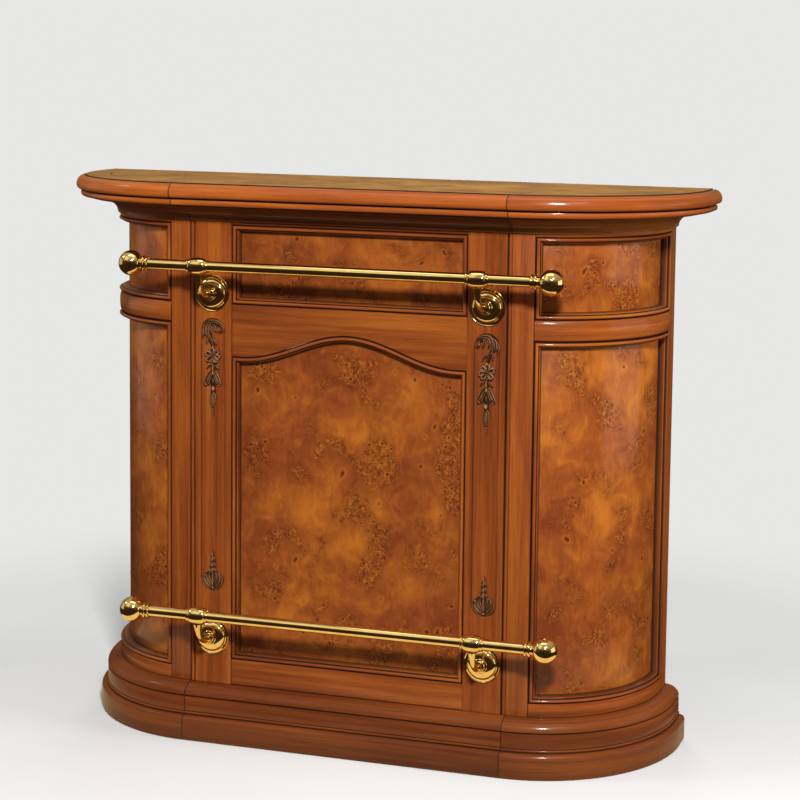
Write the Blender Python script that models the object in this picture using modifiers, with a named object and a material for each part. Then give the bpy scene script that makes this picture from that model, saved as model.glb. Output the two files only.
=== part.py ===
"""Free-standing bar counter with rounded ends, panelled front and brass rails.

Metres, +Z up. The front faces -Y, X = 0 is the plane of symmetry, and the origin
is on the floor under the middle of the whole counter.
"""

import math

import bmesh
import bpy
from mathutils import Matrix, Vector

# Whole counter
HEIGHT = 1.050
FLAT_HALF = 0.310
CORNER_RADIUS = 0.236
SIDE_LENGTH = 0.044
GAP = 0.0003

# Steps of the rounded corners: a narrow stile, then the panelled part
STILE_ANGLE = math.radians(10)
PANEL_ANGLE = math.radians(90) - STILE_ANGLE
PANEL_STEPS = 10

# Top: board dropped into a rebated edge moulding, cove below it
TOP_OVERHANG = 0.075
TOP_END_REACH = 0.009
TOP_BACK_OVERHANG = 0.006
BOARD_THICKNESS = 0.025
LIPPING_WIDTH = 0.018
BULLNOSE_CROWN = 0.019
BULLNOSE_ROUND = 0.017
BULLNOSE_UNDER = 0.0085
BULLNOSE_TUCK = 0.007
BULLNOSE_STEPS = 4
FILLET_HEIGHT = 0.0135
FILLET_SETBACK = 0.0085
FILLET_ROUND = 0.0022
REBATE_WIDTH = 0.034
COVE_HEIGHT = 0.031
COVE_SETBACK = 0.020
COVE_FILLET = 0.004
COVE_FOOT = 0.004
COVE_STEPS = 5

# Plinth: top ledge, quarter round, flat, bead and base
PLINTH_HEIGHT = 0.104
PLINTH_PROJECTION = 0.039
PLINTH_FLAT_PROJECTION = 0.027
PLINTH_ROUND_HEIGHT = 0.020
PLINTH_ROUND_STEPS = 4
PLINTH_BASE_HEIGHT = 0.045
PLINTH_BOARD = 0.027
PLINTH_LEDGE = 0.022
PLINTH_LEDGE_DEPTH = 0.045
PLINTH_QUIRK = 0.002
PLINTH_BEAD = 0.0045
PLINTH_BACK_THICKNESS = 0.018

# Openings of the frame, measured down from the top or up from the plinth
UPPER_OPENING_TOP = 0.078
UPPER_OPENING_HEIGHT = 0.148
BAND_HEIGHT = 0.038
BAND_CROWN = 0.001
BAND_EDGE = 0.006
BAND_STEPS = 6
CORNER_BASE_RAIL = 0.024
CENTRE_BASE_RAIL = 0.0485
ARCH_DROP = 0.323
ARCH_RISE = 0.050
ARCH_SHOULDER = 0.021
ARCH_STEPS = 20
RAIL_SETBACK = 0.002

# Panels and the mouldings in front of them
PANEL_RECESS = 0.017
PANEL_THICKNESS = 0.006
PANEL_BACKING = 0.002
MOULDING_WIDTH = 0.0135
MOULDING_PROUD = 0.002

# Pilasters, their seam bead and the sunk field that holds the carving
PILASTER_WIDTH = 0.082
BEAD_WIDTH = 0.0065
BEAD_QUIRK = 0.0026
BEAD_DEPTH = 0.003
FIELD_FROM_SEAM = 0.0445
FIELD_HALF = 0.0245
FIELD_DEPTH = 0.004
FIELD_TOP = 0.253
FIELD_FOOT = 0.177
FIELD_END_STEPS = 16

# Carvings
CARVING_CLEARANCE = 0.001
UPPER_CARVING_HEIGHT = 0.184
LOWER_CARVING_HEIGHT = 0.075
CARVING_PROUD = 0.004
CARVING_CHAMFER = 0.0015

# Brass rails
RAIL_RADIUS = 0.010
RAIL_STANDOFF = 0.064
RAIL_SIDES = 24
UPPER_RAIL_DROP = 0.150
LOWER_RAIL_RISE = 0.146
BALL_RADIUS = 0.0235
BALL_FROM_SEAM = 0.0885
BALL_STEPS = 8
COLLAR_LENGTH = 0.0165
COLLAR_LIP = 0.003
TURNED_SIDES = 16
SADDLE_HALF = 0.0205
SADDLE_WALL = 0.006
BRACKET_RISE = 0.0555
FLANGE_RADIUS = 0.0345
FLANGE_EDGE = 0.0035
HUB_RADIUS = 0.0285
HUB_LENGTH = 0.0215
DOME_STEPS = 5
FLANGE_SIDES = 20
ARM_RADIUS = 0.0065
ARM_BEND_SHARE = 0.96
ARM_BEND_STEPS = 5

# Inside
PARTITION_THICKNESS = 0.018
PARTITION_SETBACK = 0.0005
FLOOR_THICKNESS = 0.016
SHELF_THICKNESS = 0.018
SHELF_HEIGHT = 0.560
SHELF_FRONT_CLEARANCE = 0.030

# Sizes and places worked out from the sizes above
FRAME_THICKNESS = PANEL_RECESS + PANEL_THICKNESS + PANEL_BACKING
BULLNOSE_HEIGHT = BULLNOSE_CROWN + BULLNOSE_UNDER
BODY_DEPTH = CORNER_RADIUS + SIDE_LENGTH
FRONT_REACH = RAIL_STANDOFF + BALL_RADIUS
BACK_REACH = BODY_DEPTH + TOP_BACK_OVERHANG
FACE_Y = (FRONT_REACH - BACK_REACH) / 2
TOP_SEAM = FLAT_HALF + TOP_END_REACH
OPENING_HALF = FLAT_HALF - PILASTER_WIDTH
BOARD_UNDERSIDE = HEIGHT - BOARD_THICKNESS
MOULDING_UNDERSIDE = HEIGHT - BULLNOSE_HEIGHT - FILLET_HEIGHT
BODY_TOP = BOARD_UNDERSIDE - GAP
BODY_FOOT = PLINTH_HEIGHT
UPPER_OPENING = (
    HEIGHT - UPPER_OPENING_TOP - UPPER_OPENING_HEIGHT,
    HEIGHT - UPPER_OPENING_TOP,
)
BAND_FOOT = UPPER_OPENING[0] - BAND_HEIGHT
CORNER_OPENING = (BODY_FOOT + CORNER_BASE_RAIL, BAND_FOOT)
MAIN_OPENING_FOOT = BODY_FOOT + CENTRE_BASE_RAIL
ARCH_SPRING = HEIGHT - ARCH_DROP
ARCH_HALF = OPENING_HALF - ARCH_SHOULDER
FIELD_X = FLAT_HALF - FIELD_FROM_SEAM
FIELD_Z = (BODY_FOOT + FIELD_FOOT, HEIGHT - FIELD_TOP)
RAIL_HEIGHTS = {"upper": HEIGHT - UPPER_RAIL_DROP, "lower": BODY_FOOT + LOWER_RAIL_RISE}
BALL_X = FLAT_HALF + BALL_FROM_SEAM
COLLAR_START = math.sqrt(BALL_RADIUS**2 - RAIL_RADIUS**2) + COLLAR_LENGTH
SIDES = {"left": -1, "right": 1}

# Colours: linear RGB, roughness, metallic
FINISHES = {
    "cherry": ((0.34, 0.105, 0.020), 0.20, 0.0),
    "burl": ((0.36, 0.115, 0.022), 0.18, 0.0),
    "top_veneer": ((0.36, 0.20, 0.075), 0.15, 0.0),
    "plinth_wood": ((0.20, 0.050, 0.012), 0.24, 0.0),
    "brass": ((0.72, 0.47, 0.14), 0.14, 1.0),
    "bronze": ((0.075, 0.036, 0.018), 0.45, 0.4),
    "inside_wood": ((0.30, 0.125, 0.045), 0.40, 0.0),
}


def clear_scene():
    for item in list(bpy.context.scene.objects):
        bpy.data.objects.remove(item, do_unlink=True)


def make_collection(name):
    collection = bpy.data.collections.new(name)
    bpy.context.scene.collection.children.link(collection)
    return collection


def make_material(name):
    colour, roughness, metallic = FINISHES[name]
    material = bpy.data.materials.new(name)
    material.use_nodes = True
    shader = material.node_tree.nodes["Principled BSDF"]
    shader.inputs["Base Color"].default_value = (*colour, 1)
    shader.inputs["Roughness"].default_value = roughness
    shader.inputs["Metallic"].default_value = metallic
    return material


def add_object(name, mesh, finish):
    mesh.materials.append(make_material(finish))
    item = bpy.data.objects.new(name, mesh)
    counter.objects.link(item)
    return item


def finish_mesh(bm, name, finish, side=1):
    """Turn a bmesh built for the right-hand side into an object on either side."""
    if side < 0:
        bmesh.ops.scale(bm, vec=(-1, 1, 1), verts=bm.verts)
    bmesh.ops.recalc_face_normals(bm, faces=bm.faces)
    mesh = bpy.data.meshes.new(name)
    bm.to_mesh(mesh)
    bm.free()
    mesh.shade_smooth()
    mesh.set_sharp_from_angle(angle=math.radians(30))
    return add_object(name, mesh, finish)


def extrude_last(bm, face, keep=True):
    """Extrude a face and return the new end face; the old one stays only as a cap."""
    made = bmesh.ops.extrude_face_region(bm, geom=[face])["geom"]
    if not keep:
        bmesh.ops.delete(bm, geom=[face], context="FACES_ONLY")
    end = next(item for item in made if isinstance(item, bmesh.types.BMFace))
    return end, list(end.verts)


def front_board(name, outline, depths, finish, side=1):
    """A board cut to an (x, z) outline, its faces at two depths behind the front."""
    near, far = depths
    bm = bmesh.new()
    corners = [bm.verts.new((x, FACE_Y + near, z)) for x, z in outline]
    face = bm.faces.new(corners)
    _, verts = extrude_last(bm, face)
    bmesh.ops.translate(bm, vec=(0, far - near, 0), verts=verts)
    return finish_mesh(bm, name, finish, side)


def level_board(name, outline, heights, finish, side=1):
    """A board or post cut to an (x, depth) outline, its faces at two heights."""
    low, high = heights
    bm = bmesh.new()
    corners = [bm.verts.new((x, FACE_Y + depth, low)) for x, depth in outline]
    face = bm.faces.new(corners)
    _, verts = extrude_last(bm, face)
    bmesh.ops.translate(bm, vec=(0, 0, high - low), verts=verts)
    return finish_mesh(bm, name, finish, side)


def rectangle(x0, x1, y0, y1):
    return [(x0, y0), (x1, y0), (x1, y1), (x0, y1)]


def straight_run(name, profile, half_length, finish):
    """A moulding along the flat front, from an (offset, height) profile."""
    bm = bmesh.new()
    corners = [bm.verts.new((-half_length, FACE_Y - offset, z)) for offset, z in profile]
    face = bm.faces.new(corners)
    _, verts = extrude_last(bm, face)
    bmesh.ops.translate(bm, vec=(2 * half_length, 0, 0), verts=verts)
    return finish_mesh(bm, name, finish)


def corner_run(name, profile, turns, side_run, finish, side, start=0.0, lead=0.0, seam=FLAT_HALF):
    """Turn an (offset, height) profile round a corner, then carry it along the side.

    turns is a list of (angle, steps); the profile starts at the angle start, and
    a positive lead moves the first face past the seam.
    """
    centre = Vector((seam, FACE_Y + CORNER_RADIUS, 0))
    bm = bmesh.new()
    corners = [bm.verts.new((seam, FACE_Y - offset, z)) for offset, z in profile]
    if start:
        turn = Matrix.Rotation(start, 4, "Z")
        bmesh.ops.rotate(bm, cent=centre, matrix=turn, verts=corners)
    face = bm.faces.new(corners)
    for vert in corners:
        vert.co.x += lead
    end = face
    for angle, steps in turns:
        for _ in range(steps):
            end, verts = extrude_last(bm, end, keep=end is face)
            turn = Matrix.Rotation(angle / steps, 4, "Z")
            bmesh.ops.translate(bm, vec=(-lead, 0, 0), verts=verts)
            bmesh.ops.rotate(bm, cent=centre, matrix=turn, verts=verts)
            lead = 0.0
    if side_run:
        _, verts = extrude_last(bm, end, keep=end is face)
        bmesh.ops.translate(bm, vec=(0, side_run, 0), verts=verts)
    return finish_mesh(bm, name, finish, side)


def corner_outline(offset, back, seam=FLAT_HALF):
    """The whole plan, as (x, depth), at an offset outside the frame's face."""
    angles = [0.0] + [STILE_ANGLE + PANEL_ANGLE * step / PANEL_STEPS for step in range(PANEL_STEPS + 1)]
    radius = CORNER_RADIUS + offset
    right = [
        (seam + radius * math.sin(angle), CORNER_RADIUS - radius * math.cos(angle))
        for angle in angles
    ]
    right.append((seam + radius, back))
    return right + [(-x, depth) for x, depth in reversed(right)]


def inset_outline(points, distance):
    """Move a counter-clockwise outline inwards and keep its corners mitred."""
    moved = []
    for index, point in enumerate(points):
        before = (point - points[index - 1]).normalized()
        after = (points[(index + 1) % len(points)] - point).normalized()
        first = Vector((-before.y, before.x))
        second = Vector((-after.y, after.x))
        moved.append(point + distance * (first + second) / (1 + first.dot(second)))
    return moved


def on_front(across, z, depth):
    return Vector((across, FACE_Y + depth, z))


def on_corner(across, z, depth):
    """A point on the right corner; across is measured along the frame's face."""
    angle = across / CORNER_RADIUS
    radius = CORNER_RADIUS - depth
    return Vector((
        FLAT_HALF + radius * math.sin(angle),
        FACE_Y + CORNER_RADIUS - radius * math.cos(angle),
        z,
    ))


def moulding_section():
    """Section of a panel moulding: (distance in from the opening, depth)."""
    back = PANEL_RECESS - GAP
    return [
        (GAP, back),
        (GAP, 0.0),
        (0.12 * MOULDING_WIDTH, -MOULDING_PROUD),
        (0.36 * MOULDING_WIDTH, -MOULDING_PROUD),
        (0.50 * MOULDING_WIDTH, 0.0),
        (0.62 * MOULDING_WIDTH, 0.45 * PANEL_RECESS),
        (0.80 * MOULDING_WIDTH, 0.62 * PANEL_RECESS),
        (MOULDING_WIDTH, 0.72 * PANEL_RECESS),
        (MOULDING_WIDTH, back),
    ]


def moulding_frame(name, outline, place, side=1):
    """A mitred moulding that lines an opening, one ring of vertices per section point."""
    points = [Vector(point) for point in outline]
    bm = bmesh.new()
    rings = []
    for distance, depth in moulding_section():
        ring = inset_outline(points, distance)
        rings.append([bm.verts.new(place(point.x, point.y, depth)) for point in ring])
    for index, ring in enumerate(rings):
        following = rings[(index + 1) % len(rings)]
        for step in range(len(ring)):
            after = (step + 1) % len(ring)
            bm.faces.new((ring[step], ring[after], following[after], following[step]))
    return finish_mesh(bm, name, "cherry", side)


def arch_curve(half, lift=0.0):
    """Points of the serpentine arch from right to left, as (x, z)."""
    points = [(half, ARCH_SPRING + lift)]
    for step in range(ARCH_STEPS + 1):
        x = ARCH_HALF * (1 - 2 * step / ARCH_STEPS)
        rise = ARCH_RISE * (0.5 + 0.5 * math.cos(math.pi * x / ARCH_HALF))
        points.append((x, ARCH_SPRING + lift + rise))
    points.append((-half, ARCH_SPRING + lift))
    return points


def corner_opening_outline(heights):
    """An opening of the corner, as (distance along the face, z), anticlockwise."""
    low, high = heights
    steps = [
        CORNER_RADIUS * (STILE_ANGLE + PANEL_ANGLE * step / PANEL_STEPS)
        for step in range(PANEL_STEPS + 1)
    ]
    return [(across, low) for across in steps] + [(across, high) for across in reversed(steps)]


def centre_opening_outline():
    foot = [(-OPENING_HALF, MAIN_OPENING_FOOT), (OPENING_HALF, MAIN_OPENING_FOOT)]
    return foot + arch_curve(OPENING_HALF)


def top_moulding_profile():
    """Bullnose, quirk and fillet outside; a rebate for the board inside."""
    joint = TOP_OVERHANG - LIPPING_WIDTH + GAP
    nose = HEIGHT - BULLNOSE_CROWN
    points = [(joint, HEIGHT)]
    for start, across, high in (
        (90, BULLNOSE_ROUND, BULLNOSE_CROWN),
        (0, BULLNOSE_TUCK, BULLNOSE_UNDER),
    ):
        for step in range(BULLNOSE_STEPS):
            angle = math.radians(start - 90 * step / BULLNOSE_STEPS)
            points.append((
                TOP_OVERHANG - across * (1 - math.cos(angle)),
                nose + high * math.sin(angle),
            ))
    fillet = TOP_OVERHANG - FILLET_SETBACK
    fillet_top = HEIGHT - BULLNOSE_HEIGHT
    return points + [
        (fillet - FILLET_ROUND / 2, fillet_top - FILLET_ROUND / 3),
        (fillet, fillet_top - FILLET_ROUND),
        (fillet, MOULDING_UNDERSIDE + 2 * FILLET_ROUND),
        (fillet - FILLET_ROUND, MOULDING_UNDERSIDE + FILLET_ROUND / 2),
        (fillet - 2 * FILLET_ROUND, MOULDING_UNDERSIDE),
        (joint - REBATE_WIDTH, MOULDING_UNDERSIDE),
        (joint - REBATE_WIDTH, BOARD_UNDERSIDE - GAP),
        (joint, BOARD_UNDERSIDE - GAP),
    ]


def cornice_profile():
    """Cavetto below the top, standing on the face of the frame."""
    high = MOULDING_UNDERSIDE - GAP
    low = high - COVE_HEIGHT
    reach = TOP_OVERHANG - COVE_SETBACK
    points = [(GAP, high), (reach, high)]
    for step in range(COVE_STEPS + 1):
        angle = math.radians(90) * step / COVE_STEPS
        points.append((
            reach - (reach - COVE_FOOT) * math.sin(angle),
            low + COVE_FILLET + (COVE_HEIGHT - 2 * COVE_FILLET) * math.cos(angle),
        ))
    return points + [(COVE_FOOT, low), (GAP, low)]


def plinth_profile():
    """Quarter round, flat, bead and base outside; a ledge for the body inside."""
    high = PLINTH_HEIGHT - GAP
    face = PLINTH_FLAT_PROJECTION
    low_round = high - PLINTH_ROUND_HEIGHT
    points = [(-PLINTH_LEDGE_DEPTH, high)]
    for step in range(PLINTH_ROUND_STEPS + 1):
        angle = math.radians(90) * step / PLINTH_ROUND_STEPS
        points.append((face * math.sin(angle), low_round + PLINTH_ROUND_HEIGHT * math.cos(angle)))
    base = PLINTH_BASE_HEIGHT
    return points + [
        (face - PLINTH_QUIRK, low_round - PLINTH_QUIRK),
        (face, low_round - 2 * PLINTH_QUIRK),
        (face, base + 2 * PLINTH_BEAD),
        (face + 0.30 * PLINTH_BEAD, base + 1.5 * PLINTH_BEAD),
        (face, base + PLINTH_BEAD),
        (PLINTH_PROJECTION - 0.30 * PLINTH_BEAD, base + 0.5 * PLINTH_BEAD),
        (PLINTH_PROJECTION, base - 0.5 * PLINTH_BEAD),
        (PLINTH_PROJECTION, 0.0),
        (PLINTH_PROJECTION - PLINTH_BOARD, 0.0),
        (PLINTH_PROJECTION - PLINTH_BOARD, high - PLINTH_LEDGE),
        (-PLINTH_LEDGE_DEPTH, high - PLINTH_LEDGE),
    ]


def band_profile():
    """The rounded rail between the two panels of a corner."""
    low = BAND_FOOT + GAP
    high = UPPER_OPENING[0] - GAP
    points = [(-FRAME_THICKNESS, low), (-FRAME_THICKNESS, high)]
    for step in range(BAND_STEPS + 1):
        angle = math.pi * step / BAND_STEPS
        z = (low + high) / 2 + (high - low) / 2 * math.cos(angle)
        points.append((BAND_CROWN - (BAND_CROWN + BAND_EDGE) * (1 - math.sin(angle)), z))
    return points


def build_top():
    """Board, edge moulding and cornice; the top runs a little further at its ends."""
    outline = corner_outline(TOP_OVERHANG - LIPPING_WIDTH, BACK_REACH, TOP_SEAM)
    level_board("top_board", outline, (BOARD_UNDERSIDE, HEIGHT), "top_veneer")
    turns = [(STILE_ANGLE, 1), (PANEL_ANGLE, PANEL_STEPS)]
    for part, profile, back, seam in (
        ("top_moulding", top_moulding_profile(), BACK_REACH, TOP_SEAM),
        ("cornice", cornice_profile(), BODY_DEPTH, FLAT_HALF),
    ):
        straight_run(f"{part}_front", profile, seam - GAP / 2, "cherry")
        run = back - CORNER_RADIUS
        for word, side in SIDES.items():
            corner_run(
                f"{part}_{word}", profile, turns, run, "cherry", side, lead=GAP / 2, seam=seam
            )


def build_plinth():
    profile = plinth_profile()
    straight_run("plinth_front", profile, FLAT_HALF - GAP / 2, "plinth_wood")
    turns = [(STILE_ANGLE, 1), (PANEL_ANGLE, PANEL_STEPS)]
    for word, side in SIDES.items():
        corner_run(f"plinth_{word}", profile, turns, SIDE_LENGTH, "plinth_wood", side, lead=GAP / 2)
    wide = FLAT_HALF + CORNER_RADIUS + PLINTH_PROJECTION - PLINTH_BOARD - GAP
    narrow = FLAT_HALF + CORNER_RADIUS - PLINTH_LEDGE_DEPTH - GAP
    shoulder = PLINTH_HEIGHT - PLINTH_LEDGE - 2 * GAP
    high = PLINTH_HEIGHT - GAP
    outline = [
        (-wide, 0), (wide, 0), (wide, shoulder), (narrow, shoulder),
        (narrow, high), (-narrow, high), (-narrow, shoulder), (-wide, shoulder),
    ]
    depths = (BODY_DEPTH - PLINTH_BACK_THICKNESS, BODY_DEPTH)
    front_board("plinth_back", outline, depths, "plinth_wood")


def build_field_cutter(side):
    """The round-ended sinking in a pilaster's face."""
    low = FIELD_Z[0] + FIELD_HALF
    high = FIELD_Z[1] - FIELD_HALF
    outline = []
    for centre, start in ((high, 0.0), (low, math.pi)):
        for step in range(FIELD_END_STEPS + 1):
            angle = start + math.pi * step / FIELD_END_STEPS
            outline.append((
                side * FIELD_X + FIELD_HALF * math.cos(angle),
                centre + FIELD_HALF * math.sin(angle),
            ))
    cutter = front_board("field_cutter", outline, (-FIELD_DEPTH, FIELD_DEPTH), "cherry")
    counter.objects.unlink(cutter)
    cutters.objects.link(cutter)
    cutter.hide_render = True
    cutter.display_type = "WIRE"
    return cutter


def build_pilaster(word, side):
    """A front stile with a bead along the seam and a sunk field."""
    seam = FLAT_HALF - GAP / 2
    bead = seam - BEAD_WIDTH
    outline = [
        (OPENING_HALF, FRAME_THICKNESS),
        (OPENING_HALF, 0.0),
        (bead - BEAD_QUIRK, 0.0),
        (bead - BEAD_QUIRK / 2, BEAD_DEPTH),
        (bead, BEAD_DEPTH / 3),
        (bead + BEAD_WIDTH / 4, 0.0),
        (seam - BEAD_WIDTH / 4, 0.0),
        (seam, BEAD_DEPTH / 3),
        (seam, FRAME_THICKNESS),
    ]
    pilaster = level_board(f"pilaster_{word}", outline, (BODY_FOOT, BODY_TOP), "cherry", side)
    cut = pilaster.modifiers.new("sunk field", "BOOLEAN")
    cut.operation = "DIFFERENCE"
    cut.object = build_field_cutter(side)


def build_centre():
    """Rails, panels and mouldings between the pilasters."""
    half = OPENING_HALF - GAP
    rail = (RAIL_SETBACK, FRAME_THICKNESS)
    panel = (PANEL_RECESS, PANEL_RECESS + PANEL_THICKNESS)
    low, high = UPPER_OPENING
    front_board("frieze_rail", rectangle(-half, half, high, BODY_TOP), rail, "cherry")
    arched = [(-half, low), *reversed(arch_curve(half)), (half, low)]
    front_board("mid_rail", arched, rail, "cherry")
    base = rectangle(-half, half, BODY_FOOT, MAIN_OPENING_FOOT)
    front_board("base_rail", base, rail, "cherry")

    frieze = [Vector(point) for point in rectangle(-OPENING_HALF, OPENING_HALF, low, high)]
    front_board("frieze_panel", inset_outline(frieze, GAP), panel, "burl")
    moulding_frame("frieze_moulding", frieze, on_front)
    main = [Vector(point) for point in centre_opening_outline()]
    front_board("main_panel", inset_outline(main, GAP), panel, "burl")
    moulding_frame("main_moulding", main, on_front)


def corner_panel_profile(heights):
    near = -PANEL_RECESS
    return rectangle(near - PANEL_THICKNESS, near, heights[0] + GAP, heights[1] - GAP)


def corner_rail_profile(heights):
    return rectangle(-FRAME_THICKNESS, 0, *heights)


def build_corner(word, side):
    """Stiles, rails, panels and mouldings of one rounded corner."""
    full = (BODY_FOOT, BODY_TOP)
    slip = GAP / CORNER_RADIUS
    stile = [(STILE_ANGLE - slip, 1)]
    corner_run(
        f"front_stile_{word}", corner_rail_profile(full), stile, 0, "cherry", side, lead=GAP / 2
    )
    outside = FLAT_HALF + CORNER_RADIUS
    rear = rectangle(outside - FRAME_THICKNESS, outside, CORNER_RADIUS + GAP, BODY_DEPTH)
    level_board(f"rear_stile_{word}", rear, full, "cherry", side)

    opened = [(PANEL_ANGLE, PANEL_STEPS)]
    for name, profile, finish in (
        ("corner_top_rail", corner_rail_profile((UPPER_OPENING[1], BODY_TOP)), "cherry"),
        ("corner_upper_panel", corner_panel_profile(UPPER_OPENING), "burl"),
        ("corner_band", band_profile(), "cherry"),
        ("corner_lower_panel", corner_panel_profile(CORNER_OPENING), "burl"),
        ("corner_base_rail", corner_rail_profile((BODY_FOOT, CORNER_OPENING[0])), "cherry"),
    ):
        corner_run(f"{name}_{word}", profile, opened, 0, finish, side, start=STILE_ANGLE)
    for name, heights in (
        ("corner_upper_moulding", UPPER_OPENING),
        ("corner_lower_moulding", CORNER_OPENING),
    ):
        moulding_frame(f"{name}_{word}", corner_opening_outline(heights), on_corner, side)


def build_inside():
    """Floor, partitions behind the pilasters and a shelf between them."""
    inner = -FRAME_THICKNESS - GAP
    floor_top = BODY_FOOT + FLOOR_THICKNESS
    floor = corner_outline(inner, BODY_DEPTH)
    level_board("floor_board", floor, (BODY_FOOT, floor_top), "inside_wood")
    outer = FLAT_HALF - PARTITION_SETBACK
    wall = rectangle(outer - PARTITION_THICKNESS, outer, FRAME_THICKNESS + GAP, BODY_DEPTH)
    for word, side in SIDES.items():
        level_board(f"partition_{word}", wall, (floor_top + GAP, BODY_TOP), "inside_wood", side)
    reach = outer - PARTITION_THICKNESS - GAP
    shelf = rectangle(-reach, reach, FRAME_THICKNESS + GAP, BODY_DEPTH - SHELF_FRONT_CLEARANCE)
    heights = (SHELF_HEIGHT - SHELF_THICKNESS, SHELF_HEIGHT)
    level_board("shelf", shelf, heights, "inside_wood")


def carving_outline(silhouette, height, foot):
    """A symmetric outline from (share of the height, share of the half width) pairs."""
    half = FIELD_HALF - CARVING_CLEARANCE
    edge = [Vector((half * width, foot + height * share)) for share, width in silhouette]
    return edge + [Vector((-point.x, point.y)) for point in reversed(edge)]


def build_carving(name, silhouette, height, foot, side):
    """A carved drop, modelled as a chamfered plate that follows its outline."""
    outline = carving_outline(silhouette, height, foot)
    bottom = FIELD_DEPTH - GAP
    levels = (
        (0.0, bottom),
        (0.0, CARVING_CHAMFER - CARVING_PROUD),
        (CARVING_CHAMFER / 2, -CARVING_PROUD),
    )
    bm = bmesh.new()
    rings = []
    for distance, depth in levels:
        points = inset_outline(outline, distance)
        rings.append([bm.verts.new((FIELD_X + point.x, FACE_Y + depth, point.y)) for point in points])
    bm.faces.new(rings[0])
    bm.faces.new(rings[-1])
    for ring, following in zip(rings, rings[1:]):
        for step in range(len(ring)):
            after = (step + 1) % len(ring)
            bm.faces.new((ring[step], ring[after], following[after], following[step]))
    finish_mesh(bm, name, "bronze", side)


def build_carvings():
    """Palmette, rosette and leaf drop above, small palmette below, on each pilaster."""
    upper = (
        (0.00, 0.06), (0.05, 0.20), (0.12, 0.28), (0.20, 0.22), (0.26, 0.48),
        (0.36, 0.62), (0.45, 0.46), (0.52, 0.74), (0.62, 0.78), (0.68, 0.50),
        (0.73, 0.44), (0.78, 0.90), (0.86, 1.00), (0.93, 0.82), (0.98, 0.42), (1.00, 0.10),
    )
    lower = (
        (0.00, 0.16), (0.06, 0.50), (0.20, 0.80), (0.38, 0.86), (0.52, 0.66),
        (0.64, 0.40), (0.80, 0.24), (1.00, 0.06),
    )
    for word, side in SIDES.items():
        top = FIELD_Z[1] - CARVING_CLEARANCE - UPPER_CARVING_HEIGHT
        build_carving(f"upper_carving_{word}", upper, UPPER_CARVING_HEIGHT, top, side)
        foot = FIELD_Z[0] + CARVING_CLEARANCE
        build_carving(f"lower_carving_{word}", lower, LOWER_CARVING_HEIGHT, foot, side)


def turned(name, profile, sides, matrix, finish="brass", closed=False):
    """Revolve a (radius, height) profile, listed top to bottom, about its own axis."""
    mesh = bpy.data.meshes.new(name)
    edges = [(index, index + 1) for index in range(len(profile) - 1)]
    if closed:
        edges.append((len(profile) - 1, 0))
    mesh.from_pydata([(radius, 0, z) for radius, z in profile], edges, [])
    item = add_object(name, mesh, finish)
    item.matrix_world = matrix
    screw = item.modifiers.new("turning", "SCREW")
    screw.steps = sides
    screw.render_steps = sides
    screw.use_merge_vertices = True
    screw.merge_threshold = 0.00001
    screw.use_smooth_shade = True
    return item


def along_x(x, z, side):
    """Place a turned piece on a rail's axis, its own +Z pointing outwards."""
    turn = Matrix.Rotation(side * math.pi / 2, 4, "Y")
    return Matrix.Translation((side * x, FACE_Y - RAIL_STANDOFF, z)) @ turn


def finial_profile():
    """Ball with two beads at its neck; the neck's face is at height 0."""
    neck = RAIL_RADIUS
    lip = RAIL_RADIUS + COLLAR_LIP
    length = COLLAR_LENGTH
    start = math.asin(neck / BALL_RADIUS)
    ball = []
    for step in range(BALL_STEPS + 1):
        angle = start + (math.pi - start) * step / BALL_STEPS
        radius = BALL_RADIUS * math.sin(angle) if step < BALL_STEPS else 0.0
        ball.append((radius, COLLAR_START - BALL_RADIUS * math.cos(angle)))
    beads = [
        (lip, 0.82 * length),
        (lip, 0.62 * length),
        (neck + COLLAR_LIP / 4, 0.50 * length),
        (lip, 0.38 * length),
        (lip, 0.14 * length),
        (neck + COLLAR_LIP / 4, 0.0),
        (0.0, 0.0),
    ]
    return ball[::-1] + beads


def saddle_profile():
    """Barrel bead with end lips, bored for the rail."""
    bore = RAIL_RADIUS + GAP
    crown = RAIL_RADIUS + SADDLE_WALL
    lip = RAIL_RADIUS + 0.36 * SADDLE_WALL
    outer = [
        (lip, SADDLE_HALF),
        (lip, 0.80 * SADDLE_HALF),
        (lip + 0.12 * SADDLE_WALL, 0.74 * SADDLE_HALF),
        (crown - 0.16 * SADDLE_WALL, 0.46 * SADDLE_HALF),
    ]
    lower = [(radius, -z) for radius, z in reversed(outer)]
    return [(bore, SADDLE_HALF), *outer, (crown, 0.0), *lower, (bore, -SADDLE_HALF)]


def flange_profile():
    """Wall flange with a thin rim and a domed hub, the wall's side at height 0."""
    edge = FLANGE_EDGE
    boss = 1.6 * ARM_RADIUS
    dome = [(0.0, HUB_LENGTH), (boss, HUB_LENGTH)]
    for step in range(1, DOME_STEPS + 1):
        angle = math.radians(90) * step / DOME_STEPS
        dome.append((
            boss + (HUB_RADIUS - boss) * math.sin(angle),
            edge + (HUB_LENGTH - 2 * edge) * math.cos(angle),
        ))
    rim = [
        (HUB_RADIUS + edge / 3, 0.8 * edge),
        (FLANGE_RADIUS - edge / 2, edge),
        (FLANGE_RADIUS, edge / 2),
        (FLANGE_RADIUS, 0.0),
        (0.0, 0.0),
    ]
    return dome + rim


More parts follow.
